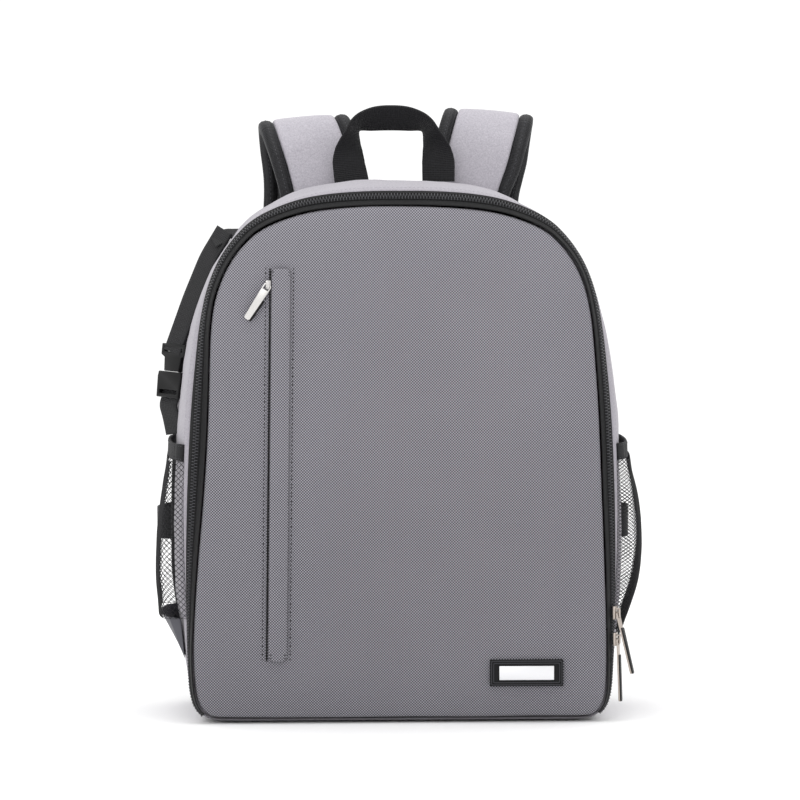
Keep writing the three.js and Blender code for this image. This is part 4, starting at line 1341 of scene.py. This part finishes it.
@dataclass
class SidePocket:
    """A stretch-net pocket with an elastic mouth."""

    side: Side
    shell: Surface
    mesh: float = 4.2 * MM
    strand: float = 0.62 * MM
    levels: int = 24
    rays: int = 60
    front: float = -57 * MM
    rear: float = 55 * MM
    boxiness: float = 0.09
    flare: dict[Side, float] = field(
        default_factory=lambda: {Side.LEFT: 1.5 * MM, Side.RIGHT: 9 * MM})
    flare_from: float = 0.45
    hem: float = 3 * MM
    fold: float = 0.9 * MM
    fold_size: float = 26 * MM
    gather: float = 6.5 * MM
    ruffle: float = 0.28 * MM
    stand_off: float = 0.4 * MM

    def build(self) -> None:
        """Makes the net and the elastic."""
        word = self.side.word
        node = f"pocket_net_{word}"
        finished(f"{node}_yarn", self.net(node), [NET_YARN], replaces=[node], smooth=False)
        self.elastic(f"pocket_elastic_{word}")

    @property
    def inward(self) -> Vector:
        """The direction from the pocket to the bag's middle."""
        return Vector((-self.side.value, 0, 0))

    def reach(self, packed: BVHTree, z: float) -> float:
        """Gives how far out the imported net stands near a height."""
        found = []
        for depth in range(-36, 40, 3):
            for rise in (-2, 0, 2):
                start = Vector((self.side.value, depth * MM, z + rise * MM))
                hit, _, _, _ = packed.ray_cast(start, self.inward)
                if hit:
                    found.append(hit.x * self.side.value)
        found.sort()
        return found[int(len(found) * 0.9)]

    def curves(self, node: str) -> list[list[Vector]]:
        """Gives even cross-section lines of the pocket, from its hem up to its mouth.

        Args:
            node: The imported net.

        Returns:
            Lines of points in even steps from the front seam round to the rear one.
        """
        low, high = (Vector(corner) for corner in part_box(node))
        bm = PackedSolid(node).bm
        packed = BVHTree.FromBMesh(bm)
        bm.free()
        tall = high.z - low.z
        heights = [low.z + tall * level / self.levels for level in range(self.levels + 1)]
        raw = [self.reach(packed, min(max(z, low.z + self.hem), high.z - self.hem))
               for z in heights]
        rows = []
        for level, z in enumerate(heights):
            near = raw[max(0, level - 2):level + 3]
            out = sum(near) / len(near)
            front, rear = (self.shell.toward(Vector((0, y, z)), self.inward)[0]
                           for y in (self.front, self.rear))
            least = max(front.x * self.side.value, rear.x * self.side.value) + self.strand
            line = []
            for step in range(self.rays + 1):
                share = 0.5 - 0.5 * math.cos(math.pi * step / self.rays)
                seam = front.lerp(rear, share)
                stand = math.sin(math.pi * share) ** self.boxiness
                wall = max(out + self.flare[self.side] * (share - self.flare_from), least)
                x = seam.x * self.side.value * (1 - stand) + wall * stand
                line.append(Vector((x * self.side.value, seam.y, z)))
            rows.append(self.evened(line))
        return rows

    def evened(self, line: list[Vector]) -> list[Vector]:
        """Gives a line cut into even steps."""
        reach = [0.0]
        for a, b in zip(line, line[1:]):
            reach.append(reach[-1] + (b - a).length)
        even = []
        k = 0
        for step in range(self.rays + 1):
            goal = reach[-1] * step / self.rays
            while k < len(line) - 2 and reach[k + 1] < goal:
                k += 1
            span = max(reach[k + 1] - reach[k], 1e-9)
            even.append(line[k].lerp(line[k + 1], min(1.0, (goal - reach[k]) / span)))
        return even

    def net(self, node: str) -> BMesh:
        """Makes the net as diamonds of yarn that follow the pocket's form."""
        rows = self.curves(node)
        height = (rows[-1][0] - rows[0][0]).length
        girth = sum((b - a).length for row in rows for a, b in zip(row, row[1:])) / len(rows)
        bm = bmesh.new()
        bmesh.ops.create_grid(bm, x_segments=round(girth / self.mesh),
                              y_segments=round(height / self.mesh), size=0.5)
        square = list(bm.edges)
        bmesh.ops.poke(bm, faces=bm.faces)
        inner = [e for e in square if e.is_valid and not e.is_boundary]
        bmesh.ops.dissolve_edges(bm, edges=inner, use_verts=False)
        for vert in bm.verts:
            u = min(max(vert.co.x + 0.5, 0.0), 1.0) * self.rays
            v = min(max(vert.co.y + 0.5, 0.0), 1.0) * self.levels
            i, j = min(int(u), self.rays - 1), min(int(v), self.levels - 1)
            near = rows[j][i].lerp(rows[j][i + 1], u - i)
            far = rows[j + 1][i].lerp(rows[j + 1][i + 1], u - i)
            place = near.lerp(far, v - j)
            across, up = u / self.rays, v / self.levels
            free = min(1.0, 5 * min(across, 1 - across, 1 - up, up))
            wave = noise.noise(Vector((place.y * 1.6, 0, place.z * 0.55)) / self.fold_size)
            vert.co = place - self.inward * self.fold * free * wave
        inside = [v for v in bm.verts if not v.is_boundary]
        bmesh.ops.smooth_vert(bm, verts=inside, factor=0.5, use_axis_x=True, use_axis_y=True,
                              use_axis_z=False)
        bmesh.ops.wireframe(bm, faces=bm.faces, thickness=self.strand, use_replace=True,
                            use_boundary=True, use_even_offset=False)
        return bm

    def elastic(self, node: str) -> None:
        """Makes the gathered elastic, which reaches forward to the seam."""
        low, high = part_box(node)
        start = Vector((low[0] if self.side is Side.RIGHT else high[0], self.front, high[2]))
        facing = Vector((self.side.value, -0.3, 0))
        fine = refined(PackedSolid(node).stations(4, start, facing), 6)
        gathered = []
        for s in fine:
            out = math.sin(s.along * math.tau / self.gather) * self.ruffle + self.stand_off
            gathered.append(replace(s, place=s.place + s.outward * out,
                                    half_depth=s.half_depth + 0.2 * MM))
        seam, _ = self.shell.toward(Vector((0, self.front, gathered[0].place.z)), self.inward)
        end = min((0, -1), key=lambda i: gathered[i].place.y)
        sewn = replace(gathered[end], place=seam - self.inward * MM,
                       along=gathered[end].along - 5 * MM)
        gathered.insert(0 if end == 0 else len(gathered), sewn)
        bm = sweep(gathered, rounded_section(fine[0], 0.8 * MM))
        finished(f"{node}_knit", bm, [ELASTIC], replaces=[node])
        rows = Stitching(pitch=2.6 * MM, length=1.8 * MM, width=0.6 * MM, height=0.5 * MM)
        for share in (-0.75, 0.75):
            line = [s.at(share * s.half_width, s.half_depth + 0.1 * MM) for s in gathered]
            rows.row(line, [s.outward for s in gathered])
        rows.done(f"{node}_stitches", BLACK_THREAD)


@dataclass
class PocketBase:
    """The coated cloth under the left pocket."""

    node: str = "pocket_base_left"

    def build(self) -> None:
        """Makes the slanted cloth from the net's hem in to the gusset."""
        bm = PackedSolid(self.node).bm
        round_edges(bm, 0.4 * MM, 0.6)
        finished(f"{self.node}_cloth", bm, [COATED], replaces=[self.node])


@dataclass
class SideStrap:
    """The strap on the left: loop, webbing, fastened buckle and lower webbing."""

    facing: Vector = field(default_factory=lambda: Vector((-1, -0.25, 0)))
    twist: float = math.radians(26)  # how far the slack strap turns its face to the front
    thread: float = 8 * MM

    def build(self) -> None:
        """Makes the webbing and the buckle."""
        for node in ("side_strap_anchor", "side_strap_upper", "side_strap_lower"):
            low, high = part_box(node)
            start = Vector((high[0], (low[1] + high[1]) / 2, high[2]))
            packed = PackedSolid(node).stations(4, start, self.facing)
            bm = strip(refined(self.threaded([self.twisted(s) for s in packed]), 5), 0.6 * MM)
            finished(f"{node}_webbing", bm, [WEBBING], replaces=[node])
        for node in ("buckle_male", "buckle_female"):
            bm = bevelled(node, 0.8 * MM, 3)
            low, high = (Vector(corner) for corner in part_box(node))
            bmesh.ops.rotate(bm, cent=(low + high) / 2, verts=bm.verts,
                             matrix=Matrix.Rotation(self.twist, 3, "Z"))
            finished(f"{node}_moulded", bm, [ACETAL], replaces=[node])

    def threaded(self, stations: list[Station]) -> list[Station]:
        """Runs both ends on, into the slots and seams beside them."""
        longer = []
        for end, inner, sign in ((stations[0], stations[1], -1),
                                 (stations[-1], stations[-2], 1)):
            on = (end.place - inner.place).normalized() * self.thread
            longer.append(replace(end, place=end.place + on,
                                  along=end.along + sign * self.thread))
        return [longer[0], *stations, longer[1]]

    def twisted(self, station: Station) -> Station:
        """Gives a station turned about its run."""
        run = station.across.cross(station.outward).normalized()
        turn = Matrix.Rotation(self.twist if run.z > 0 else -self.twist, 3, run)
        return replace(station, across=turn @ station.across, outward=turn @ station.outward)


@dataclass
class ZipPull:
    """A cast slider and its pull, which swings on a body of its own."""

    slider: str
    pull: str
    body: str
    metal: Metal = NICKEL
    dark_edge_and_shadow_offset: Vector = field(default_factory=lambda: Vector((0.9, 0.5, 0)) * MM)
    eye: float = 12 * MM  # the dark copy, the pull's dark edge and painted shadow, starts below the eye
    edge: float = 0.3 * MM

    def build(self) -> None:
        """Makes the slider, the pull and the pull's dark back: a dark copy set off to one side, for
        its dark edge and painted shadow.
        """
        for node, body in ((self.slider, "root"), (self.pull, self.body)):
            finished(f"{node}_cast", bevelled(node, self.edge), [self.metal], body=body,
                     replaces=[node])
        bm = bevelled(self.pull, 0.2 * MM, 1)
        low, high = (Vector(corner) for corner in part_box(self.slider))
        hinge = (low + high) / 2
        tip = max((v.co.copy() for v in bm.verts), key=lambda co: (co - hinge).length)
        run = (tip - hinge).normalized()
        everything = bm.verts[:] + bm.edges[:] + bm.faces[:]
        bmesh.ops.bisect_plane(bm, geom=everything, plane_co=hinge + run * self.eye,
                               plane_no=run, clear_inner=True)
        bmesh.ops.holes_fill(bm, edges=[e for e in bm.edges if e.is_boundary], sides=0)
        # the dark copy is moved to the pull's shadow side: painted shadow, with the pull's dark
        # edge
        bmesh.ops.translate(bm, verts=bm.verts, vec=self.dark_edge_and_shadow_offset)
        finished(f"{self.pull}_back", bm, [ACETAL], body=self.body)


@dataclass
class Studio:
    """The pale floor, the soft lights and the camera."""

    target: Vector = field(default_factory=lambda: Vector((-1.5, -75, 243)) * MM)
    distance: float = 3.0
    azimuth: float = -2.5
    elevation: float = 3.5
    view_width: float = 0.596
    sensor: float = 36.0
    floor_size: float = 30.0
    sky: float = 1.1
    lamp_size: float = 1.6
    lamps: tuple = (("overhead", (0, -0.1, 2.2), 15.0), ("front_fill", (-1.2, -3.0, 1.6), 14.0))

    def build(self) -> None:
        """Makes the studio."""
        scene = bpy.context.scene
        scene.view_settings.view_transform = "Standard"
        world = bpy.data.worlds.new("studio")
        world.use_nodes = True
        sky = world.node_tree.nodes["Background"]
        set_inputs(world.node_tree, sky, {0: (1, 1, 1, 1), 1: self.sky})
        scene.world = world
        self.floor()
        for name, place, power in self.lamps:
            self.light(name, Vector(place), power)
        self.camera()

    def floor(self) -> None:
        """Makes the floor."""
        bm = bmesh.new()
        bmesh.ops.create_grid(bm, x_segments=1, y_segments=1, size=self.floor_size)
        mesh = bpy.data.meshes.new("studio_floor")
        bm.to_mesh(mesh)
        bm.free()
        mesh.materials.append(PAINT.material())
        placed_object(mesh)

    def light(self, name: str, place: Vector, power: float) -> None:
        """Adds a square soft light that looks at the bag, with its power in watts."""
        lamp = bpy.data.lights.new(name, "AREA")
        lamp.energy = power
        lamp.size = self.lamp_size
        made = bpy.data.objects.new(name, lamp)
        made.location = place
        made.rotation_euler = (self.target - place).to_track_quat("-Z", "Y").to_euler()
        bpy.context.scene.collection.objects.link(made)

    def camera(self) -> None:
        """Adds the camera at the photograph's angle."""
        turn = math.radians(self.azimuth)
        rise = math.radians(self.elevation)
        level = math.cos(rise)
        way = Vector((math.sin(turn) * level, -math.cos(turn) * level, math.sin(rise)))
        lens = bpy.data.cameras.new("camera")
        lens.sensor_width = self.sensor
        lens.lens = self.sensor * self.distance / self.view_width
        eye = bpy.data.objects.new("camera", lens)
        eye.location = self.target + way * self.distance
        eye.rotation_euler = (-way).to_track_quat("-Z", "Y").to_euler()
        bpy.context.scene.collection.objects.link(eye)
        bpy.context.scene.camera = eye


def main() -> None:
    """Builds the studio and every sub-assembly."""
    logging.basicConfig(level=logging.INFO, format="%(name)s: %(message)s")
    Studio().build()
    shell = BodyShell().build()
    panel = FrontPanel().build()
    MainZip().build()
    BackPanel().build()
    FrontPocket(panel).build()
    Label().build()
    GrabHandle().build()
    for side in Side:
        ShoulderStrap(side).build()
        SidePocket(side, shell).build()
    PocketBase().build()
    SideStrap().build()
    ZipPull("pocket_slider", "pocket_pull", "pocket_pull", SILVER,
            Vector((1.5, 0.5, -1.0)) * MM).build()
    ZipPull("upper_zip_slider", "upper_zip_pull", "upper_pull").build()
    ZipPull("lower_zip_slider", "lower_zip_pull", "lower_pull").build()


if __name__ == "__main__":
    main()
